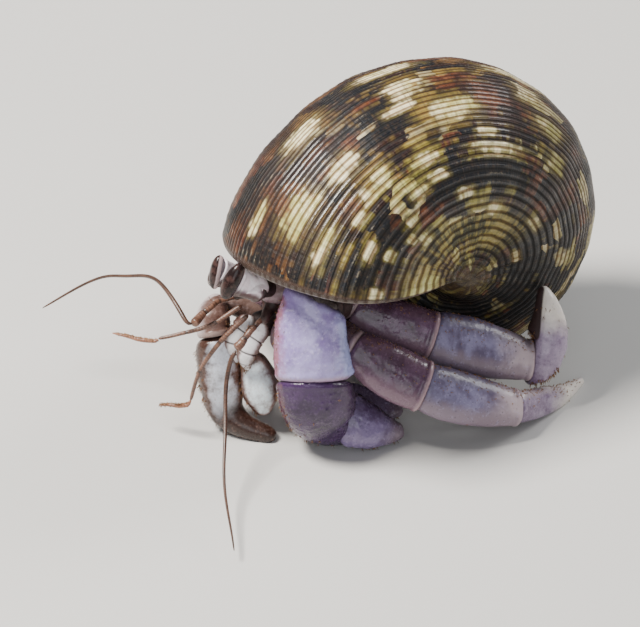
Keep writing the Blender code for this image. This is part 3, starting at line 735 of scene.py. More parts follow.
# the smooth form of one solid: centres, planes and radii from its base to its far end
class Limb:
    jointGap = 0.3        # from a joint's flat to the first ring

    def __init__(self, node, before, after, up, along=None, rows=80, around=96, stations=22, reach=9.0):
        points, _, tree = solid(node)
        self.up = unit(up)
        if before:
            start, startNormal = meeting(node, before)
        elif along is None:
            start = farEnd(node, meeting(node, after)[0])
        else:
            start = points[np.argmin(points @ np.asarray(along, float))]
        if after:
            end, endNormal = meeting(node, after)
        elif along is None:
            end = farEnd(node, start)
        else:
            end = points[np.argmax(points @ np.asarray(along, float))]
        margin = self.jointGap / np.linalg.norm(end - start)
        place = np.linspace(margin if before else 0.04, 1 - margin if after else 0.96, stations)
        centres = start + (end - start) * place[:, None]
        middleNormals = np.tile(unit(end - start), (stations, 1))
        for _ in range(3):          # the cuts settle square to the line of their middles
            normals = []
            for normal, t in zip(middleNormals, place):
                normal = leanTo(normal, -startNormal, t) if before else normal
                normals.append(leanTo(normal, endNormal, 1 - t) if after else normal)
            centres = np.array([middleOf(cutThrough(node, centre, normal, reach), centre, normal, self.up)
                                for centre, normal in zip(centres, normals)])
            centres = soften(centres, 1, False)
            middleNormals = np.array([unit(g) for g in np.gradient(centres, axis=0)])

        # how far the solid's skin is from each middle, all round
        angle = np.linspace(0, 2 * np.pi, 48, endpoint=False)
        radius = np.zeros((stations, len(angle)))
        for k, (centre, normal) in enumerate(zip(centres, normals)):
            height, side = crossFrame(normal, self.up)
            for j, a in enumerate(angle):
                gap = tree.ray_cast(Vector(centre), Vector(side * math.cos(a) + height * math.sin(a)))[3]
                radius[k, j] = gap if gap is not None else (radius[k, j - 1] if j else 0.3)
        radius = soften(soften(radius, 4, True), 1, False)
        rows = max(int(rows * fine), 12)
        around = max(int(around * fine) // 2 * 2, 16)
        centres = soften(resample(centres, rows), 6, False)
        normals = soften(resample(np.array(normals), rows), 6, False)
        radius = resample(radius, rows)
        self.angle = np.linspace(0, 2 * np.pi, around, endpoint=False)
        turn = np.append(angle, 2 * np.pi)
        radius = np.array([np.interp(self.angle, turn, np.append(row, row[0])) for row in radius])
        self.radius = soften(soften(radius, max(int(3 * fine), 1), True), int(10 * fine), False)
        self.centres = centres
        self.normals = normals / np.linalg.norm(normals, axis=1, keepdims=True)
        length = lengthAlong(centres)
        self.fromStart = length + (self.jointGap if before else 0.0)
        self.fromEnd = length[-1] - length + (self.jointGap if after else 0.0)
        self.openStart = bool(before)
        self.openEnd = bool(after)

    def ring(self, k, scale=1.0, shift=0.0):
        height, side = crossFrame(self.normals[k], self.up)
        ray = np.cos(self.angle)[:, None] * side + np.sin(self.angle)[:, None] * height
        return self.centres[k] + self.normals[k] * shift + ray * (self.radius[k] * scale)[:, None]

    # every ring from the base to the far end, and how far each is from both; each row of a plan is the
    # share of the last ring's radius and the distance past it, in millimetres or in radii on a round end
    def surface(self, neck, lip=0.05, roundEnd=0.55):
        rows, start, end = [], [], []
        if self.openStart:
            plan = ((0.35, -1.25), (neck * 0.8, -1.2), (neck * 0.93, -0.9), (neck, -0.62), (neck, -0.4),
                    (0.9, -0.34), (0.96, -0.27), (0.99, -0.15))
        else:
            plan = ((0.3, -roundEnd), (0.62, -roundEnd * 0.8), (0.86, -roundEnd * 0.45))
        for scale, shift in plan:
            rows.append(self.ring(0, scale, shift if self.openStart else shift * self.radius[0].mean()))
            start.append(shift + self.jointGap if self.openStart else 0.0)
            end.append(self.fromEnd[0])
        rows.extend(self.ring(k) for k in range(len(self.centres)))
        start.extend(self.fromStart)
        end.extend(self.fromEnd)
        if self.openEnd:
            plan = ((1.0, 0.15), (0.995, 0.28), (0.975, 0.33 + lip), (0.945, 0.34 + lip), (0.91, 0.25),
                    (0.88, 0.0), (0.8, -0.45), (0.5, -0.6))
        else:
            plan = ((0.86, roundEnd * 0.45), (0.62, roundEnd * 0.8), (0.3, roundEnd))
        for scale, shift in plan:
            rows.append(self.ring(-1, scale, shift if self.openEnd else shift * self.radius[-1].mean()))
            start.append(self.fromStart[-1])
            end.append((0.35 - shift if scale > 0.96 else -1.0 + scale) if self.openEnd else 0.0)
        return np.array(rows), np.array(start), np.array(end)


# 0 to 1: round grains of the given size, in patches that cover that share
def grains(points, size, cover, seed):
    out = np.empty(len(points))
    for k, p in enumerate(points):
        near = noise.voronoi(Vector((p[0] / size + seed, p[1] / size, p[2] / size)))[0][0]
        patch = noise.noise(Vector((p[0] * 0.5 + seed, p[1] * 0.5, p[2] * 0.5))) * 0.5 + 0.5
        out[k] = max(0.0, 1.0 - near / 0.55) * min(max((patch - 1 + cover) * 5, 0.0), 1.0)
    return out


# gentle unevenness with waves of the given size
def swell(points, size, seed=0.0):
    return np.array([noise.fractal(Vector((p[0] / size + seed, p[1] / size, p[2] / size)), 1.0, 2.0, 3)
                     for p in points])


# what a hard piece has unless its own style says otherwise
plainStyle = {
    "grain": 0.05,            # height of the grains
    "grainSize": 0.42,
    "grainCover": 0.6,        # share of the surface with grains on it
    "collar": 0.07,           # height of the rim at a joint
    "waist": 0.12,            # how far the base is drawn in
    "neck": 0.78,             # width of the neck that runs into the joint before
    "fuller": 0.0,            # how much the whole piece stands off its solid
    "dome": 0.0,              # how much its outer face is raised in the middle
    "cap": 0.0,               # how much the end under the shell is filled out
    "nudge": (0, 0, 0),       # the whole piece is moved by this
    "lean": (0, 0, 0),        # and its top by this
    "seed": 0.0,
}
waveSize = 2.2                # millimetres from swell to swell on hard skin


# one hard piece of a limb, with its collar, neck, grains and gentle unevenness
def dressLimb(name, node, before, after, paint, slot, up, style, **shape):
    style = {**plainStyle, **style}
    limb = Limb(node, before, after, up, **shape)
    grid, fromStart, fromEnd = limb.surface(style["neck"])
    normal = normalsOf(grid, True)
    outward = grid - grid.mean(axis=1, keepdims=True)
    normal *= np.sign((normal * outward).sum(axis=2).mean())
    lift = np.zeros(grid.shape[:2])
    if limb.openEnd:          # a raised rim with a shallow groove before it
        collar = bell(fromEnd, 0.15, 0.22) - 0.6 * bell(fromEnd, 0.62, 0.2)
        lift += (style["collar"] * collar * (fromEnd >= 0))[:, None]
    if limb.openStart:
        lift += (-style["waist"] * bell(np.maximum(fromStart, 0), 0, 0.5))[:, None]
    ends = smoothStep(fromStart, 0.1, 0.8) * smoothStep(fromEnd, 0.1, 0.9)          # smooth at both ends
    flat = grid.reshape(-1, 3)
    bumps = grains(flat, style["grainSize"], style["grainCover"], style["seed"]).reshape(lift.shape)
    waves = swell(flat, waveSize, style["seed"]).reshape(lift.shape)
    lift += bumps * style["grain"] * ends[:, None] + waves * 0.07 * ends[:, None]
    lift += style["fuller"]
    grid = grid + normal * lift[..., None] + np.array(style["nudge"])
    grid[..., 2] = np.maximum(grid[..., 2], 0.0)
    nearEnd = np.where(limb.openEnd, fromEnd, beyond)
    nearStart = np.where(limb.openStart, fromStart, beyond)
    piece = Piece(name)
    piece.addGrid(grid, True, True, along=np.clip(fromStart / max(limb.fromStart[-1], 1e-6), 0, 1)[:, None],
                  rim=np.minimum(nearEnd, nearStart)[:, None], lip=nearEnd[:, None], grain=bumps,
                  height=np.sin(limb.angle)[None, :], face=np.cos(limb.angle)[None, :])
    piece.finish(paint, slot, [node])
    return limb


# one smooth closed surface round any closed solids: its points, normals and faces
def melted(points, faces, voxel, times):
    mesh = bpy.data.meshes.new("melting")
    mesh.from_pydata(points, [], faces)
    raw = bpy.data.objects.new("melting", mesh)
    scene.collection.objects.link(raw)
    remesh = raw.modifiers.new("remesh", "REMESH")
    remesh.mode = "VOXEL"
    remesh.voxel_size = voxel
    smooth = raw.modifiers.new("smooth", "SMOOTH")
    smooth.factor = 0.5
    smooth.iterations = times
    made = bpy.data.meshes.new_from_object(raw.evaluated_get(bpy.context.evaluated_depsgraph_get()))
    bpy.data.objects.remove(raw, do_unlink=True)
    faces = [tuple(face.vertices) for face in made.polygons]
    return readCorners(made, "co"), readCorners(made, "normal"), faces


castStyle = {
    **plainStyle, "collar": 0.05, "fuller": 0.12,
    "voxel": 0.15,            # size of the smallest shape that is kept
    "times": 22,              # how often it is smoothed
}
rimDepth = 0.12               # the dark line at a joint starts this far from it


# a hard piece that keeps its solid's own outline, rounded, with grains and gentle unevenness
def castPlate(name, node, before, after, paint, slot, up, style):
    style = {**castStyle, **style}
    points, faces, _ = solid(node)
    voxel, times = style["voxel"] / fine, int(style["times"] * fine)
    where, normal, faces = melted(points.tolist(), faces, voxel, times)
    seams = [flatFace(node, end) if isinstance(end, tuple) else meeting(node, end)
             for end in (before, after) if end]
    start = seams[0][0]
    end = seams[-1][0] if after else farEnd(node, start)
    axis = unit(end - start)
    height, side = crossFrame(axis, unit(up))
    gaps = []          # how far each point is from each joint's flat, in depth and beyond its edge
    for spot, out in seams:
        depth = (spot - where) @ out
        aside = np.linalg.norm(where - spot + out * depth[:, None], axis=1)
        reach = np.linalg.norm(points[np.abs((points - spot) @ out) < 0.2] - spot, axis=1).max()
        gaps.append(np.hypot(np.maximum(depth, 0.0), np.maximum(aside - reach * 1.15, 0.0)))
    gap = np.min(gaps, axis=0)
    lip = gaps[-1] if after else np.full(len(where), beyond)
    ends = smoothStep(gap, 0.25, 0.9)
    bumps = grains(where, style["grainSize"], style["grainCover"], style["seed"])
    lift = bumps * style["grain"] * ends + swell(where, waveSize, style["seed"]) * 0.08 * ends
    lift += style["fuller"] + style["collar"] * bell(gap, 0.45, 0.3)
    flat = where - where.mean(axis=0)
    flat = np.linalg.norm(flat - np.outer(flat @ side, side), axis=1)
    domed = np.clip(1 - (flat / (flat.max() * 0.85)) ** 2, 0, 1)          # full in the middle of the face
    lift += style["dome"] * np.clip(normal @ side, 0, 1) * domed
    if style["cap"]:
        lift += style["cap"] * np.clip(normal @ unit(before), 0, 1) ** 2
    tall = (where[:, 2] - where[:, 2].min()) / np.ptp(where[:, 2])
    where = where + normal * lift[:, None] + np.array(style["nudge"])
    where += tall[:, None] * np.array(style["lean"])
    along = np.clip((where - start) @ axis / np.linalg.norm(end - start), 0, 1)
    piece = Piece(name)
    piece.add(where, faces, along=along, rim=gap - rimDepth, lip=lip - rimDepth, height=normal @ height,
              face=normal @ side, grain=bumps)
    piece.finish(paint, slot, [node])


# hard skin: light and deep clouds, a tinted upper edge (on the lilac plate a painted pale blue highlight), a
# pale rim at the joint after, and dots.
# far is a tone towards the tip, low one on the underside, face one on the outer side; on the right claw the
# dark far and low tones are partly painted shade
plainPlate = {"far": None, "low": None, "face": None, "specks": 0.5, "roughness": 0.3, "farFrom": 0.55,
              "faceFrom": 0.45}
plateTones = {
    # the lilac plate's pale blue edge tone is a painted highlight
    "lilacPlate": {"light": (0.42, 0.36, 0.68), "deep": (0.27, 0.19, 0.46), "edge": (0.4, 0.5, 0.84),
                   "rim": (0.45, 0.3, 0.36), "low": (0.3, 0.09, 0.11), "specks": 0.3, "roughness": 0.24},
    # the palm's deep purple is set darker than its own colour: partly painted shade
    "purplePlate": {"light": (0.05, 0.02, 0.075), "deep": (0.02, 0.008, 0.032), "edge": (0.06, 0.03, 0.065),
                    "rim": (0.3, 0.19, 0.26), "low": (0.1, 0.03, 0.04), "roughness": 0.26},
    "greyVioletPlate": {"light": (0.21, 0.16, 0.3), "deep": (0.09, 0.055, 0.12), "edge": (0.09, 0.05, 0.07),
                        "rim": (0.34, 0.26, 0.34), "far": (0.19, 0.14, 0.18), "low": (0.24, 0.2, 0.34),
                        "roughness": 0.26},
    "mauvePlate": {"light": (0.14, 0.07, 0.13), "deep": (0.065, 0.03, 0.055), "edge": (0.12, 0.06, 0.08),
                   "rim": (0.42, 0.28, 0.3), "low": (0.2, 0.12, 0.16), "roughness": 0.26},
    "thigh": {"light": (0.2, 0.12, 0.15), "deep": (0.08, 0.04, 0.05), "edge": (0.08, 0.04, 0.035),
              "rim": (0.34, 0.24, 0.25)},
    "shin": {"light": (0.22, 0.195, 0.32), "deep": (0.1, 0.075, 0.135), "edge": (0.05, 0.028, 0.05),
             "rim": (0.45, 0.34, 0.37), "far": (0.44, 0.35, 0.38), "low": (0.22, 0.16, 0.2),
             "roughness": 0.4},
    "clawTip": {"light": (0.32, 0.25, 0.35), "deep": (0.16, 0.105, 0.18), "edge": (0.45, 0.38, 0.36),
                "rim": (0.3, 0.22, 0.26), "far": (0.76, 0.69, 0.62), "specks": 0.3, "farFrom": 0.38},
    "shade": {"light": (0.16, 0.1, 0.09), "deep": (0.07, 0.038, 0.03), "edge": (0.2, 0.13, 0.11),
              "rim": (0.3, 0.2, 0.17)},
    # the right claw's dark brown tip and underside, and the finger's below, are partly its own brown, partly
    # painted shade
    "paleClaw": {"light": (0.2, 0.11, 0.085), "deep": (0.07, 0.03, 0.02), "edge": (0.09, 0.04, 0.03),
                 "rim": (0.3, 0.2, 0.17), "face": (0.78, 0.82, 0.92), "far": (0.03, 0.013, 0.009),
                 "low": (0.04, 0.017, 0.012), "specks": 0.3, "farFrom": 0.42, "faceFrom": 0.76},
    "blueClaw": {"light": (0.3, 0.2, 0.18), "deep": (0.12, 0.06, 0.05), "edge": (0.09, 0.045, 0.035),
                 "rim": (0.38, 0.28, 0.25), "face": (0.85, 0.95, 1.0), "low": (0.07, 0.03, 0.02),
                 "specks": 0.15, "faceFrom": 0.76},
    "warmClaw": {"light": (0.26, 0.17, 0.15), "deep": (0.1, 0.05, 0.04), "edge": (0.07, 0.03, 0.02),
                 "rim": (0.38, 0.27, 0.24), "face": (0.5, 0.42, 0.42), "specks": 0.3},
    "mouthLimb": {"light": (0.5, 0.44, 0.43), "deep": (0.15, 0.08, 0.06), "edge": (0.1, 0.045, 0.03),
                  "rim": (0.14, 0.07, 0.045), "face": (0.78, 0.76, 0.78), "low": (0.1, 0.04, 0.03),
                  "specks": 0.3, "faceFrom": 0.64},
    "shield": {"light": (0.26, 0.17, 0.19), "deep": (0.1, 0.055, 0.06), "edge": (0.3, 0.21, 0.2),
               "rim": (0.3, 0.22, 0.2)},
}
insideTone = (0.03, 0.012, 0.012)          # where a piece runs into the joint before


def paintPlate(name):
    tones = {**plainPlate, **plateTones[name]}
    light, deep = tones["light"], tones["deep"]
    paint = Paint(name + "Paint", Coat_Weight=0.22, Coat_Roughness=0.22, Specular_IOR_Level=0.4)
    here = paint.place()
    height = paint.field("height")
    lip = paint.field("lip")
    grain = paint.field("grain")
    broad = paint.cloud(here, 230.0, 4.0, 0.6, 0.4)
    middling = paint.cloud(here, 850.0, 4.0, 0.65)
    fineTone = paint.cloud(here, 3200.0, 3.0, 0.6)
    colour = paint.mix(paint.between(broad * 0.65 + middling * 0.35, 0.38, 0.6), deep, light)
    if tones["face"]:
        towards = paint.field("face") + (middling - 0.5) * 0.5 + (broad - 0.5) * 0.6
        start = tones["faceFrom"]
        colour = paint.mix(paint.between(towards, start, start + 0.3), colour, tones["face"])
    if tones["far"]:
        along = paint.field("along") + (broad - 0.5) * 0.5
        start = tones["farFrom"]
        colour = paint.mix(paint.between(along, start, start + 0.35), colour, tones["far"])
    # the upper edge takes the edge tone: a painted highlight on the lilac plate, the plate's own tint on the
    # others
    margin = paint.between(height + (broad - 0.5) * 0.9, 0.5, 1.0)
    colour = paint.mix(margin * 0.6, colour, tones["edge"])
    if tones["low"]:
        below = paint.between(height + (middling - 0.5) * 0.6, -0.35, -0.85)
        colour = paint.mix(below * 0.85, colour, tones["low"])
    pit = paint.cells(here, 2100.0)
    dots = (1 - paint.between(pit, 0.1, 0.32)) * paint.between(middling, 0.42, 0.6)
    colour = paint.mix(dots * tones["specks"], colour, scaled(deep, 0.35))
    flecks = paint.between(fineTone + (middling - 0.5) * 0.6, 0.56, 0.72)
    colour = paint.mix(flecks * 0.22, colour, scaled(light, 1.7, 0.05, 0.9))
    # grain tips are lighter: partly their own paler colour, partly a painted highlight
    colour = paint.mix(paint.between(grain, 0.3, 1.0) * 0.45, colour, scaled(light, 1.5, 0.12, 0.95))
    band = 1 - paint.between(lip + (fineTone - 0.5) * 0.3, 0.1, 0.42)
    colour = paint.mix(band * 0.7, colour, tones["rim"])
    inner = 1 - paint.between(paint.field("rim"), -0.1, 0.06)
    colour = paint.mix(inner, colour, insideTone)
    rough = tones["roughness"] + (fineTone - 0.5) * 0.25 + (middling - 0.5) * 0.2 - grain * 0.1 + inner * 0.3
    dimple = paint.relief(pit, 0.00003, 0.5)
    ripple = paint.relief(fineTone * 0.5 + middling, 0.00007, 0.5, dimple)
    paint.feed(Base_Color=colour, Roughness=rough, Normal=ripple)
    return paint


eyeTones = {"cornea": ((0.012, 0.006, 0.006), (0.06, 0.03, 0.026)), "root": (0.45, 0.34, 0.34)}


def paintEye():
    paint = Paint("eyePaint", Coat_Weight=0.25, Coat_Roughness=0.05, Specular_IOR_Level=0.2)
    here = paint.place()
    streak = paint.cloud(here, 1400.0, 3.0, 0.6)
    lens = paint.cells(here, 9000.0)
    back = paint.between(paint.field("along") + (streak - 0.5) * 0.15, 0.2, 0.1)
    colour = paint.mix(paint.between(streak, 0.4, 0.7), *eyeTones["cornea"])
    colour = paint.mix(back, colour, eyeTones["root"])
    paint.feed(Base_Color=colour, Roughness=0.2 + streak * 0.15, Normal=paint.relief(lens, 0.00001, 0.3))
    return paint


# under is the dark brown of the stalk's underside: painted shade
stalkTones = {"skin": ((0.78, 0.66, 0.71), (0.93, 0.88, 0.92)), "under": (0.05, 0.022, 0.014),
              "root": (0.5, 0.36, 0.36)}


def paintStalk():
    paint = Paint("eyestalkPaint", Coat_Weight=0.5, Coat_Roughness=0.12)
    here = paint.place()
    tone = paint.cloud(here, 900.0, 4.0, 0.6)
    small = paint.cloud(here, 3600.0, 3.0)
    colour = paint.mix(paint.between(tone, 0.3, 0.7), *stalkTones["skin"])
    # the stalk's underside is dark brown: painted shade
    shadedUnderside = 1 - paint.between(paint.field("height") + (tone - 0.5) * 0.3, -0.75, -0.15)
    colour = paint.mix(shadedUnderside * 0.95, colour, stalkTones["under"])
    root = paint.between(paint.field("along") + (tone - 0.5) * 0.2, 0.3, 0.0)
    colour = paint.mix(root * 0.3, colour, stalkTones["root"])
    pits = paint.relief(small + tone, 0.00005, 0.5)
    paint.feed(Base_Color=colour, Roughness=0.24 + small * 0.2, Normal=pits)
    return paint


feelerTones = {
    "whip": ((0.025, 0.01, 0.006), (0.08, 0.035, 0.02)),
    "stem": ((0.045, 0.018, 0.011), (0.17, 0.08, 0.05)),
    "club": ((0.12, 0.04, 0.022), (0.32, 0.14, 0.08)),
    "pinch": (0.03, 0.014, 0.01),
    "ringing": 185.0,          # how close the painted rings are
}


def paintFeeler(name):
    dark, light = feelerTones[name]
    paint = Paint(name + "Paint", Coat_Weight=0.35, Coat_Roughness=0.2)
    tone = paint.cloud(paint.place(), 1300.0, 3.0)
    band = paint.maths("SINE", paint.field("along") * feelerTones["ringing"]) * 0.5 + 0.5
    groove = 1 - paint.between(paint.field("rim"), 0.0, 0.16)
    colour = paint.mix(paint.between(tone, 0.3, 0.7), dark, light)
    colour = paint.mix(band * 0.25, colour, scaled(light, 2.2, 0.0, 0.8))
    colour = paint.mix(groove * 0.8, colour, feelerTones["pinch"])
    rings = paint.relief(band + tone, 0.00003, 0.5)
    paint.feed(Base_Color=colour, Roughness=0.35 + tone * 0.15, Normal=rings)
    return paint


# the flesh is near black: partly its own colour, partly painted shade in the gaps between the limbs
fleshTones = {"skin": ((0.018, 0.007, 0.006), (0.055, 0.025, 0.022)), "folds": (0.01, 0.004, 0.003)}


def paintSoft():
    paint = Paint("softSkinPaint", Coat_Weight=0.15, Coat_Roughness=0.3)
    here = paint.place()
    broad = paint.cloud(here, 300.0, 4.0, 0.6)
    small = paint.cloud(here, 1800.0, 4.0, 0.6)
    colour = paint.mix(paint.between(broad, 0.4, 0.62), *fleshTones["skin"])
    colour = paint.mix(paint.between(small, 0.5, 0.75) * 0.5, colour, fleshTones["folds"])
    wrinkle = paint.relief(small + broad, 0.0001, 0.7)
    paint.feed(Base_Color=colour, Roughness=0.45 + small * 0.2, Normal=wrinkle)
    return paint


bristle = {
    "tones": ((0.07, 0.025, 0.012), (0.4, 0.2, 0.08)),
    "thick": 0.035,               # radius at the root
    "sunk": 0.06,                 # depth of the root under the skin
    "perTuft": 3,
    "patch": 0.0015,              # half of one tuft's patch on the unwrap
    "cells": 6,                   # pieces side by side on the unwrap
}


def paintBristle():
    paint = Paint("bristlePaint")
    tone = paint.cloud(paint.place(), 1400.0, 2.0)
    paint.feed(Base_Color=paint.mix(tone, *bristle["tones"]), Roughness=0.4 + tone * 0.2)
    return paint


plates = {name: paintPlate(name) for name in plateTones}
eyePaint = paintEye()
stalkPaint = paintStalk()
feelerPaints = {name: paintFeeler(name) for name in ("whip", "stem", "club")}
softPaint = paintSoft()
bristlePaint = paintBristle()

# which way each limb's upper edge or flat faces
faceLeft = (0.64, 0.77, 0.0)           # the broad faces of the claws look out to the left
flatLeft = (-0.45, 0.38, 0.81)         # across the flat faces of the left legs
topRight = (-0.2, -0.1, 1.0)           # the upper edge of the right legs
topCut = (-0.08, 0.7, 0.71)            # the big claw is cut off this way under the shell's lip
legs = {
    "left_leg_one": flatLeft, "left_leg_two": flatLeft, "right_leg_one": topRight, "right_leg_two": topRight,
}
sides = ("left", "right")

bigClaw = {"grain": 0.1, "grainSize": 0.5, "grainCover": 0.62, "collar": 0.1, "fuller": 0.22, "dome": 0.7}
smallClaw = {"grain": 0.04, "grainSize": 0.4, "grainCover": 0.5, "collar": 0.06, "waist": 0.06, "neck": 0.84}
paleClaw = {**smallClaw, "grain": 0.07, "nudge": (0.15, 0.2, 0.0), "fuller": 0.42, "dome": 0.4}
legStyle = {"grain": 0.06, "grainSize": 0.34, "grainCover": 0.55, "collar": 0.08, "waist": 0.05,
            "neck": 0.86, "fuller": 0.24}
tipStyle = {"grain": 0.02, "grainCover": 0.3, "waist": 0.04, "fuller": 0.1}

# the solid, the solids before and after it, paint, slot, upper side, style and rings of each smooth piece
plan = [
    ("left_claw_merus", None, "left_claw_carpus", "thigh", "big_claw", (0, 1, 0), smallClaw, 80),
    ("right_claw_merus", None, "right_claw_carpus", "shade", "pale_claw", (0, 0, 1), smallClaw, 80),
    ("right_claw_carpus", None, "right_claw_palm", "warmClaw", "pale_claw", (0.3, -0.2, 1.0), paleClaw, 80),
]
for leg, up in legs.items():
    merus, carpus, propodus, dactyl = [leg + part for part in ("_merus", "_carpus", "_propodus", "_dactyl")]
    plan += [(merus, None, carpus, "thigh", "leg", up, legStyle, 80),
             (carpus, merus, propodus, "mauvePlate", "leg", up, legStyle, 80),
             (propodus, carpus, dactyl, "shin", "leg", up, legStyle, 110)]
    if leg != "left_leg_two":          # that leg's claw tip is cast below
        plan.append((dactyl, propodus, None, "clawTip", "claw_tip", up, tipStyle, 110))
limbs = {}
for k, (node, before, after, paint, slot, up, style, rows) in enumerate(plan):
    limbs[node] = dressLimb(node + "Plate", node, before, after, plates[paint], slot, up,
                            {**style, "seed": k * 3.7}, rows=rows)

# the same for the pieces that keep their solid's own outline
casts = [
    ("left_claw_carpus", topCut, "left_claw_palm", "lilacPlate", "big_claw", faceLeft,
     {**bigClaw, "cap": 1.3}),
    ("left_claw_palm", "left_claw_carpus", None, "purplePlate", "big_claw", faceLeft,
     {**bigClaw, "collar": 0.06}),
    ("left_claw_finger", "left_claw_palm", None, "greyVioletPlate", "big_claw", faceLeft,
     {**bigClaw, "fuller": 0.38, "nudge": (0.15, -0.64, 0.35), "lean": (-1.1, -1.3, 0.35)}),
    ("left_claw_fixed_finger", "left_claw_palm", None, "greyVioletPlate", "big_claw", faceLeft,
     {**bigClaw, "fuller": 0.3, "nudge": (-0.2, -0.24, 0.1)}),
    ("right_claw_palm", "right_claw_carpus", None, "paleClaw", "pale_claw", faceLeft, paleClaw),
    ("right_claw_finger", "right_claw_palm", None, "blueClaw", "pale_claw", faceLeft, paleClaw),
    ("left_leg_two_dactyl", "left_leg_two_propodus", None, "clawTip", "claw_tip", flatLeft,
     {**tipStyle, "times": 14, "fuller": 0.35, "nudge": (-0.2, -0.2, 0.0)}),
]
for k, (node, before, after, paint, slot, up, style) in enumerate(casts):
    castPlate(node + "Plate", node, before, after, plates[paint], slot, up, {**style, "seed": k * 5.1})


# the right eye is a little smaller and turns more of its root to the front
eyes = {
    "left": {"turned": (0, -0.2, 0.1), "size": 1.0, "depth": 1.05, "sunk": 0.3, "bare": 0.0},
    "right": {"turned": (-1.6, -1.0, 0.0), "size": 0.9, "depth": 0.8, "sunk": 0.05, "bare": -0.3},
}
eyeLean = np.array((0.1, 0.55, 1.0))          # the tall way of both eyes


# a long smooth cornea on the end of its stalk
def buildEye(side):
    eye = eyes[side]
    points = solid("eye_" + side)[0]
    middle = (points.min(axis=0) + points.max(axis=0)) / 2
    base = meeting("eyestalk_" + side, "eye_" + side)[0]
    ahead = unit(middle - base + np.array(eye["turned"]))
    tall = unit(eyeLean - ahead * np.dot(eyeLean, ahead))
    wide = np.cross(tall, ahead)
    halfTall = np.abs((points - middle) @ tall).max() * 1.1 * eye["size"]
    halfWide = np.abs((points - middle) @ wide).max() * 1.02 * eye["size"]
    a = np.linspace(0.02, 0.98, int(70 * fine))[:, None] * math.pi * 0.68
    b = np.linspace(0, 2 * np.pi, int(90 * fine), endpoint=False)[None, :]
    along = np.cos(a) + 0 * b
    ring = np.sin(a) ** 0.9
    tallPart = ring * np.sin(b)
    widePart = ring * np.cos(b) * (1 - 0.12 * np.sin(b))
    centre = base + ahead * eye["sunk"]
    grid = (centre + along[..., None] * ahead * eye["depth"] + tallPart[..., None] * tall * halfTall
            + widePart[..., None] * wide * halfWide)
    piece = Piece("eye_" + side + "Cornea")
    piece.addGrid(grid[::-1], True, True, along=(along[::-1] + 0.5 + eye["bare"]) / 1.5, height=np.sin(b))
    piece.finish(eyePaint, "eye", ["eye_" + side])


for side in sides:
    dressLimb("eyestalk_" + side + "Stalk", "eyestalk_" + side, None, "eye_" + side, stalkPaint, "eyestalk",
              (0, 0, 1), {"grain": 0.0, "collar": 0.09}, rows=70)
    buildEye(side)
dressLimb("shieldPlate", "shield", None, None, plates["shield"], "shield", (0, 0.25, 1.0), {"grain": 0.04},
          along=(0, 1, 0.3), rows=90, around=140, reach=12.0)


# how far each point is from one of them, along the edges of its solid
def sweep(points, links, first):
    far = {first: 0.0}
    waiting = [(0.0, first)]
    while waiting:
        gone, here = heapq.heappop(waiting)
        if gone > far[here]:
            continue
        for other in links[here]:
            total = gone + float(np.linalg.norm(points[here] - points[other]))
            if total < far.get(other, math.inf):
                far[other] = total
                heapq.heappush(waiting, (total, other))
    return far


# the middle line of a thin solid, from the end nearer to a spot
def spine(node, near, count):
    points, faces, _ = solid(node)
    links = {}
    for face in faces:
        for i, corner in enumerate(face):
            links.setdefault(corner, set()).update((face[i - 1], face[(i + 1) % len(face)]))
    far = sweep(points, links, int(np.argmin(np.linalg.norm(points - near, axis=1))))
    far = sweep(points, links, max(far, key=far.get))
    order = sorted(far, key=far.get, reverse=True)
    distance = far[order[0]] - np.array([far[k] for k in order])
    order = np.array(order)
    bins = np.minimum((distance / distance[-1] * count).astype(int), count - 1)
    middles = [points[order[bins == b]].mean(axis=0) for b in range(count) if (bins == b).any()]
    start = points[order[distance < 0.45]].mean(axis=0)
    end = points[order[distance[-1] - distance < 0.3]].mean(axis=0)
    return np.array([start, *middles[1:-1], end])


# thin limbs along the middle of their solids: sizes gives the radius from base to tip, joints where it
# is pinched, joinTo the solid it grows out of, ringed the height of its rings, flat its width by height
plainThin = {"slot": "feeler", "joints": (), "joinTo": None, "stations": 8, "around": 12, "flat": 1.0,
             "ringed": 0.0, "up": (0.1, 0.05, 1.0)}
thinLimbs = {
    "antenna_stem_": {"end": "Rod", "paint": feelerPaints["stem"], "joints": (0.3, 0.62), "rings": 110,
                      "around": 24, "sizes": (0.55, 0.48, 0.36, 0.34, 0.28, 0.28, 0.24)},
    "antenna_": {"end": "Whip", "paint": feelerPaints["whip"], "joinTo": "antenna_stem_", "stations": 14,
                 "rings": 260, "ringed": 0.012, "sizes": (0.27, 0.24, 0.2, 0.17, 0.14, 0.1)},
    "antennule_stalk_": {"end": "Rod", "paint": feelerPaints["stem"], "joints": (0.34, 0.68), "rings": 110,
                         "sizes": (0.32, 0.28, 0.25, 0.22, 0.2)},
    "antennule_club_": {"end": "Club", "paint": feelerPaints["club"], "joinTo": "antennule_stalk_",
                        "stations": 4, "rings": 70, "ringed": 0.02, "sizes": (0.17, 0.24, 0.22, 0.16, 0.08)},
    "mouth_limb_": {"end": "Plate", "paint": plates["mouthLimb"], "slot": "mouth_limb", "flat": 0.6,
                    "joints": (0.3, 0.56, 0.8), "rings": 120, "around": 48, "up": (0.74, 0.53, -0.3),
                    "sizes": (0.8, 1.2, 1.15, 1.2, 1.1, 0.95, 0.7, 0.4)},
}
ringPitch = 0.34              # millimetres from one ring of a feeler to the next
faceMiddle = sum(boxOf("eyestalk_" + side)[0] for side in sides) / 2


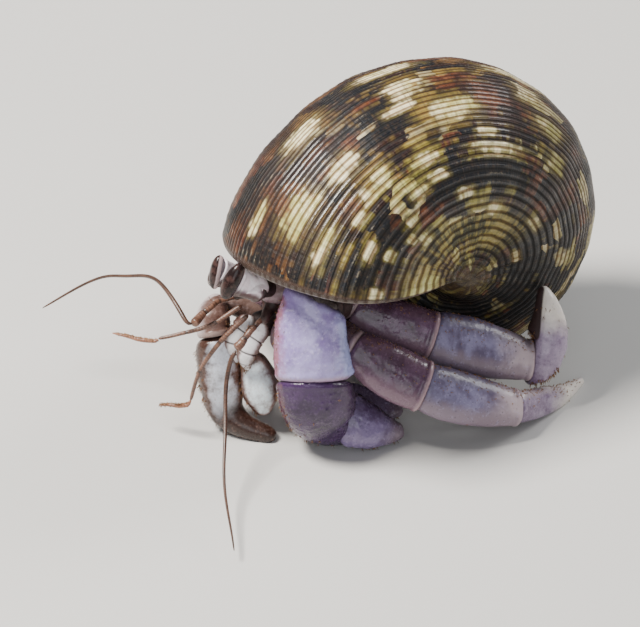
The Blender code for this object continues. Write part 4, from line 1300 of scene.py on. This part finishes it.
def growThin(kind, side):
    style = {**plainThin, **thinLimbs[kind]}
    node = kind + side
    path = soften(resample(spine(node, faceMiddle, style["stations"]), 60), 10, False)
    if style["joinTo"]:
        points = solid(style["joinTo"] + side)[0]
        order = np.argsort(np.linalg.norm(points - path[0], axis=1))[:8]
        path = np.vstack([points[order].mean(axis=0), path])
        path = soften(resample(path, 80), 3, False)
    length = lengthAlong(path)
    rings = int(style["rings"] * fine)
    steps = np.linspace(0, length[-1], rings)
    path = np.stack([np.interp(steps, length, path[:, k]) for k in range(3)], axis=1)
    tangent = np.array([unit(g) for g in np.gradient(path, axis=0)])
    part = np.linspace(0, 1, rings)
    radius = np.interp(part, np.linspace(0, 1, len(style["sizes"])), style["sizes"])
    away = np.full(rings, beyond)
    for joint in style["joints"]:
        gone = (part - joint) * length[-1]
        away = np.minimum(away, np.abs(gone))
        radius = radius * (1 - 0.16 * bell(gone, 0, 0.09) + 0.04 * bell(gone, -0.24, 0.16))
    roundEnds = np.sqrt(np.maximum(1 - np.abs(2 * part - 1) ** 24, 0.02))
    radius = radius * np.minimum(1.0, roundEnds)
    radius = radius + style["ringed"] * np.sin(steps * 2 * np.pi / ringPitch)
    angle = np.linspace(0, 2 * np.pi, style["around"], endpoint=False)
    grid = []
    for k in range(rings):
        height, across = crossFrame(tangent[k], np.array(style["up"]))
        ray = np.cos(angle)[:, None] * across * style["flat"] + np.sin(angle)[:, None] * height
        grid.append(path[k] + ray * max(radius[k], 0.03))
    grid = np.array(grid)
    grid[..., 2] = np.maximum(grid[..., 2], 0.02)
    piece = Piece(node + style["end"])
    piece.addGrid(grid, True, True, along=(steps / 10)[:, None], height=np.sin(angle)[None, :],
                  face=np.cos(angle)[None, :], rim=away[:, None] - 0.09, lip=beyond, grain=0.0)
    piece.finish(style["paint"], style["slot"], [node])


for side in sides:
    for kind in thinLimbs:
        growThin(kind, side)


spikeTurn = np.arange(3) * 2 * np.pi / 3
spikeRing = np.stack((np.cos(spikeTurn), np.sin(spikeTurn)), 1)
spikeFaces = [(k, (k + 1) % 3, 3 + (k + 1) % 3, 3 + k) for k in range(3)]
spikeFaces += [(3 + k, 3 + (k + 1) % 3, 6) for k in range(3)] + [(2, 1, 0)]


# one thin three-sided spike
def spike(root, grow, size, bend):
    a, b = crossFrame(grow, np.array((0.3, 0.2, 0.93)))
    ring = spikeRing[:, :1] * a + spikeRing[:, 1:] * b
    waist = root + grow * size * 0.55 + ring * bristle["thick"] * 0.7 + bend * 0.4
    points = np.vstack([root + ring * bristle["thick"], waist, root + grow * size + bend])
    points[:, 2] = np.maximum(points[:, 2], 0.01)
    return points


# tufts of short stiff hairs; a bed is the solid whose piece they grow on, their count, length, side, lean
def growBristles(name, slot, beds, seed):
    chance = np.random.default_rng(seed)
    piece = Piece(name)
    away = np.vstack([spikeRing, spikeRing, np.zeros((1, 2))]) * bristle["patch"]
    for cell, (node, count, length, towards, lean) in enumerate(beds):
        mesh = pieceOf[node].data
        where = readCorners(mesh, "co") / mm
        normal = readCorners(mesh, "normal")
        middle = where.mean(axis=0)
        axis = np.linalg.svd((where - middle)[::7], full_matrices=False)[2][0]
        axis = axis * (1 if np.dot(axis, (0.3, -0.4, -0.8)) > 0 else -1)          # from body to tip
        first, second = crossFrame(axis, np.array((0.21, 0.1, 0.97)))
        run = (where - middle) @ axis
        run = (run - run.min()) / (run.max() - run.min())
        turn = np.arctan2((where - middle) @ second, (where - middle) @ first) / (2 * np.pi) + 0.5
        weight = np.clip(normal @ unit(towards) - 0.1, 0.0, 1.0) ** 2 + 0.004
        weight *= smoothStep(run, 0.04, 0.12) * smoothStep(run, 1.0, 0.94)
        for pick in chance.choice(len(where), count, p=weight / weight.sum()):
            corner = (cell % bristle["cells"] + turn[pick], cell // bristle["cells"] + run[pick])
            spot = np.array(corner) / bristle["cells"]
            for _ in range(bristle["perTuft"]):
                grow = unit(normal[pick] * 0.8 + axis * lean + chance.normal(0, 0.22, 3))
                size = length * chance.uniform(0.6, 1.15)
                root = where[pick] - normal[pick] * bristle["sunk"] + chance.normal(0, 0.05, 3)
                piece.add(spike(root, grow, size, axis * lean * 0.25 * size), spikeFaces, spot + away)
    piece.finish(bristlePaint, slot, [bed[0] for bed in beds])


legHairs = {"_merus": (60, 0.6), "_carpus": (70, 0.55), "_propodus": (120, 0.5), "_dactyl": (130, 0.45)}
down = (0, 0, -1)
brushes = {          # the slot, then each bed
    "legBristles": ("leg", [
        (leg + part, int(count * fine), length, (0.1, -0.3, -1.0), 0.7)
        for leg in legs for part, (count, length) in legHairs.items()]),
    "bigClawBristles": ("big_claw", [
        ("left_claw_carpus", 60, 0.4, (-0.7, -0.5, -0.2), 0.5),
        ("left_claw_palm", 90, 0.4, (-0.5, -0.6, -0.6), 0.5),
        ("left_claw_finger", 60, 0.4, down, 0.5),
        ("left_claw_fixed_finger", 60, 0.4, down, 0.5)]),
    "paleClawBristles": ("pale_claw", [
        ("right_claw_palm", 110, 0.5, (-0.75, -0.4, -0.5), 0.6),
        ("right_claw_finger", 40, 0.5, (-0.6, -0.77, -0.1), 0.6),
        ("right_claw_carpus", 70, 0.6, (-0.2, -0.9, 0.2), 0.5)]),
    "mouthBristles": ("mouth_limb", [
        ("mouth_limb_" + side, 170, 0.9, (0.3, -0.8, -0.2), 0.9) for side in sides]),
    "clubBristles": ("feeler", [
        ("antennule_club_" + side, 90, 0.45, down, 0.5) for side in sides]),
}
for seed, (name, (slot, beds)) in enumerate(brushes.items(), 11):
    growBristles(name, slot, beds, seed)


# the flesh: balls strung from the chest to each limb and across the cast joints, melted into one skin
softJoints = {          # the two solids, and how much of the joint's opening the flesh fills
    ("left_claw_carpus", "left_claw_palm"): 0.85,
    ("left_claw_palm", "left_claw_finger"): 0.8,
    ("left_claw_palm", "left_claw_fixed_finger"): 0.8,
    ("right_claw_carpus", "right_claw_palm"): 0.85,
    ("left_leg_two_propodus", "left_leg_two_dactyl"): 0.9,
}
flesh = {                       # radius of each strand at its start and at its end
    "limb": (1.7, 1.3),
    "limbShare": 0.9,           # a strand stays within this share of its limb
    "mouth": (1.6, 0.8),
    "feeler": (1.3, 0.6),
    "eyestalk": (1.2, 0.9),
    "neck": (2.0, 1.6),
    "bigClaw": (2.2, 1.6),
    "leftLeg": (1.5, 1.5),
    "back": (1.7, 3.0),
    "belly": (1.9, 3.4),
    "voxel": 0.3,               # size of the smallest shape that is kept
    "times": 6,                 # how often it is smoothed
    "folds": 0.07,              # height of the folds across the body
    "wrinkles": 0.05,
}
ballRings = 8
ballSides = 12


def roundBall():
    points = [(0, 0, 1.0)]
    for i in range(1, ballRings):
        for j in range(ballSides):
            a, b = math.pi * i / ballRings, 2 * math.pi * j / ballSides
            points.append((math.sin(a) * math.cos(b), math.sin(a) * math.sin(b), math.cos(a)))
    points.append((0, 0, -1.0))
    foot = len(points) - 1
    faces = []
    for j in range(ballSides):
        k = (j + 1) % ballSides
        faces.append((0, 1 + j, 1 + k))
        for start in range(1, foot - ballSides, ballSides):
            faces.append((start + j, start + j + ballSides, start + k + ballSides, start + k))
        faces.append((foot, foot - ballSides + k, foot - ballSides + j))
    return np.array(points), faces


# a spot at the rear top edge of a solid's box, that far forward and down from it
def rearTop(node, ahead, down):
    low, high = boxOf(node)
    return np.array(((low[0] + high[0]) / 2, high[1] - ahead, high[2] - down))


# the middles and radii of the balls along every strand
def stringBalls():
    balls = []

    def strand(a, b, radii, count=7):
        for t in np.linspace(0, 1, count):
            balls.append((a + (b - a) * t, radii[0] + (radii[1] - radii[0]) * t))

    chest, shield, rear = (boxMiddle(node) for node in ("chest", "shield", "rear_body"))
    for root in ("left_claw", "right_claw", *legs):
        limb = limbs[root + "_merus"]
        thick, thin = flesh["limb"]
        strand(chest, limb.centres[3], (thick, min(limb.radius[4].min() * flesh["limbShare"], thin)))
    for side in sides:
        stalkFoot = rearTop("eyestalk_" + side, 0.8, 0.0)
        stalkFoot[2] = boxOf("eyestalk_" + side)[0][2] + 1.0          # low on the stalk instead
        strand(chest, rearTop("mouth_limb_" + side, 1.2, 1.2), flesh["mouth"])
        strand(shield + (0, -2.0, -1.4), rearTop("antenna_stem_" + side, 0.6, 0.8), flesh["feeler"])
        strand(shield + (0, -2.4, -0.9), stalkFoot, flesh["eyestalk"])
    strand(chest, shield + (0, -0.4, -1.2), flesh["neck"])
    bigTop = flatFace("left_claw_carpus", topCut)[0]
    strand(chest + (0.5, -1.0, 2.0), bigTop + (0.2, 0.6, 1.0), flesh["bigClaw"])
    for leg in ("left_leg_one", "left_leg_two"):
        centres = limbs[leg + "_merus"].centres
        strand(bigTop + (1.0, 1.4, 0.2), centres[len(centres) // 3], flesh["leftLeg"])
    strand(shield + (0, 0.6, -1.0), rear + (0, -1.0, -1.0), flesh["back"])
    strand(chest + (0, 1.0, 0.4), rear, flesh["belly"], 9)
    for (a, b), share in softJoints.items():
        first, second = meeting(a, b)[0], meeting(b, a)[0]
        size = np.linalg.norm(solid(a)[0] - first, axis=1).min() * share
        strand(first, second, (size, size), 3)
    return balls


def buildBody():
    ballPoints, ballFaces = roundBall()
    lumps = [solid(node)[:2] for node in ("chest", "rear_body")]
    lumps += [(centre + ballPoints * radius, ballFaces) for centre, radius in stringBalls()]
    points, faces = [], []
    for lumpPoints, lumpFaces in lumps:
        faces.extend(tuple(v + len(points) for v in face) for face in lumpFaces)
        points.extend(lumpPoints.tolist())
    where, normal, faces = melted(points, faces, flesh["voxel"] / fine, flesh["times"])
    folds = np.sin(where[:, 1] * 3.4 + 2.2 * swell(where, 3.0)) * flesh["folds"]
    wrinkles = swell(where, 0.9, 4.0) * flesh["wrinkles"]
    piece = Piece("softBody")
    piece.add(where + normal * (folds + wrinkles)[:, None], faces)
    piece.finish(softPaint, "soft_body", ["chest", "rear_body"])


buildBody()


view = {
    "azimuth": 50.0,                 # degrees round from the front
    "elevation": 36.0,
    "distance": 1.2,
    "width": 0.0697,                 # what the frame takes in, side to side
    "target": (5.24, -6.24, 14.87),  # millimetres from the middle of the floor under the model
    "film": 36.0,
    "nearest": 0.01,
    "farthest": 20.0,
}


def placeCamera():
    around = math.radians(view["azimuth"])
    up = math.radians(view["elevation"])
    back = Vector((math.sin(around) * math.cos(up), -math.cos(around) * math.cos(up), math.sin(up)))
    camera = bpy.data.objects.new("viewCamera", bpy.data.cameras.new("viewCamera"))
    scene.collection.objects.link(camera)
    camera.location = Vector(view["target"]) * mm + back * view["distance"]
    camera.rotation_euler = back.to_track_quat("Z", "Y").to_euler()
    camera.data.sensor_width = view["film"]
    camera.data.lens = view["film"] * view["distance"] / view["width"]
    camera.data.clip_start = view["nearest"]
    camera.data.clip_end = view["farthest"]
    scene.camera = camera


studio = {
    "floor": 1.5,                    # half of its width
    "floorTones": ((0.60, 0.585, 0.565), (0.66, 0.645, 0.62)),
    "air": (0.9, 0.95, 1.0, 1.0),
    "airStrength": 0.26,
    "aim": (0, 0, 0.015),            # all lights point here
}
lights = {          # place, width, power and colour
    "keyLight": ((-0.12, -0.2, 0.41), 0.15, 5.2, (1.0, 0.965, 0.91)),
    "fillLight": ((0.35, -0.25, 0.25), 0.3, 0.5, (0.92, 0.96, 1.0)),
    "rimLight": ((0.1, 0.4, 0.3), 0.2, 1.2, (1.0, 1.0, 1.0)),
}


def layFloor():
    paint = Paint("floorPaint", Roughness=0.85)
    tone = paint.cloud(paint.place(), 12.0, 4.0)
    paint.feed(Base_Color=paint.mix(tone, *studio["floorTones"]))
    mesh = bpy.data.meshes.new("studioFloor")
    half = studio["floor"]
    corners = [(-half, -half, 0), (half, -half, 0), (half, half, 0), (-half, half, 0)]
    mesh.from_pydata(corners, [], [(0, 1, 2, 3)])
    mesh.materials.append(paint.material)
    floor = bpy.data.objects.new("studioFloor", mesh)
    scene.collection.objects.link(floor)


def lightStudio():
    world = bpy.data.worlds.new("studioAir")
    world.use_nodes = True
    world.node_tree.nodes["Background"].inputs["Color"].default_value = studio["air"]
    world.node_tree.nodes["Background"].inputs["Strength"].default_value = studio["airStrength"]
    scene.world = world
    for name, (place, size, power, colour) in lights.items():
        light = bpy.data.lights.new(name, "AREA")
        light.shape = "DISK"
        light.size = size
        light.energy = power
        light.color = colour
        thing = bpy.data.objects.new(name, light)
        thing.location = place
        thing.rotation_euler = (Vector(place) - Vector(studio["aim"])).to_track_quat("Z", "Y").to_euler()
        scene.collection.objects.link(thing)


placeCamera()
layFloor()
lightStudio()
print("placed camera, floor and lights")
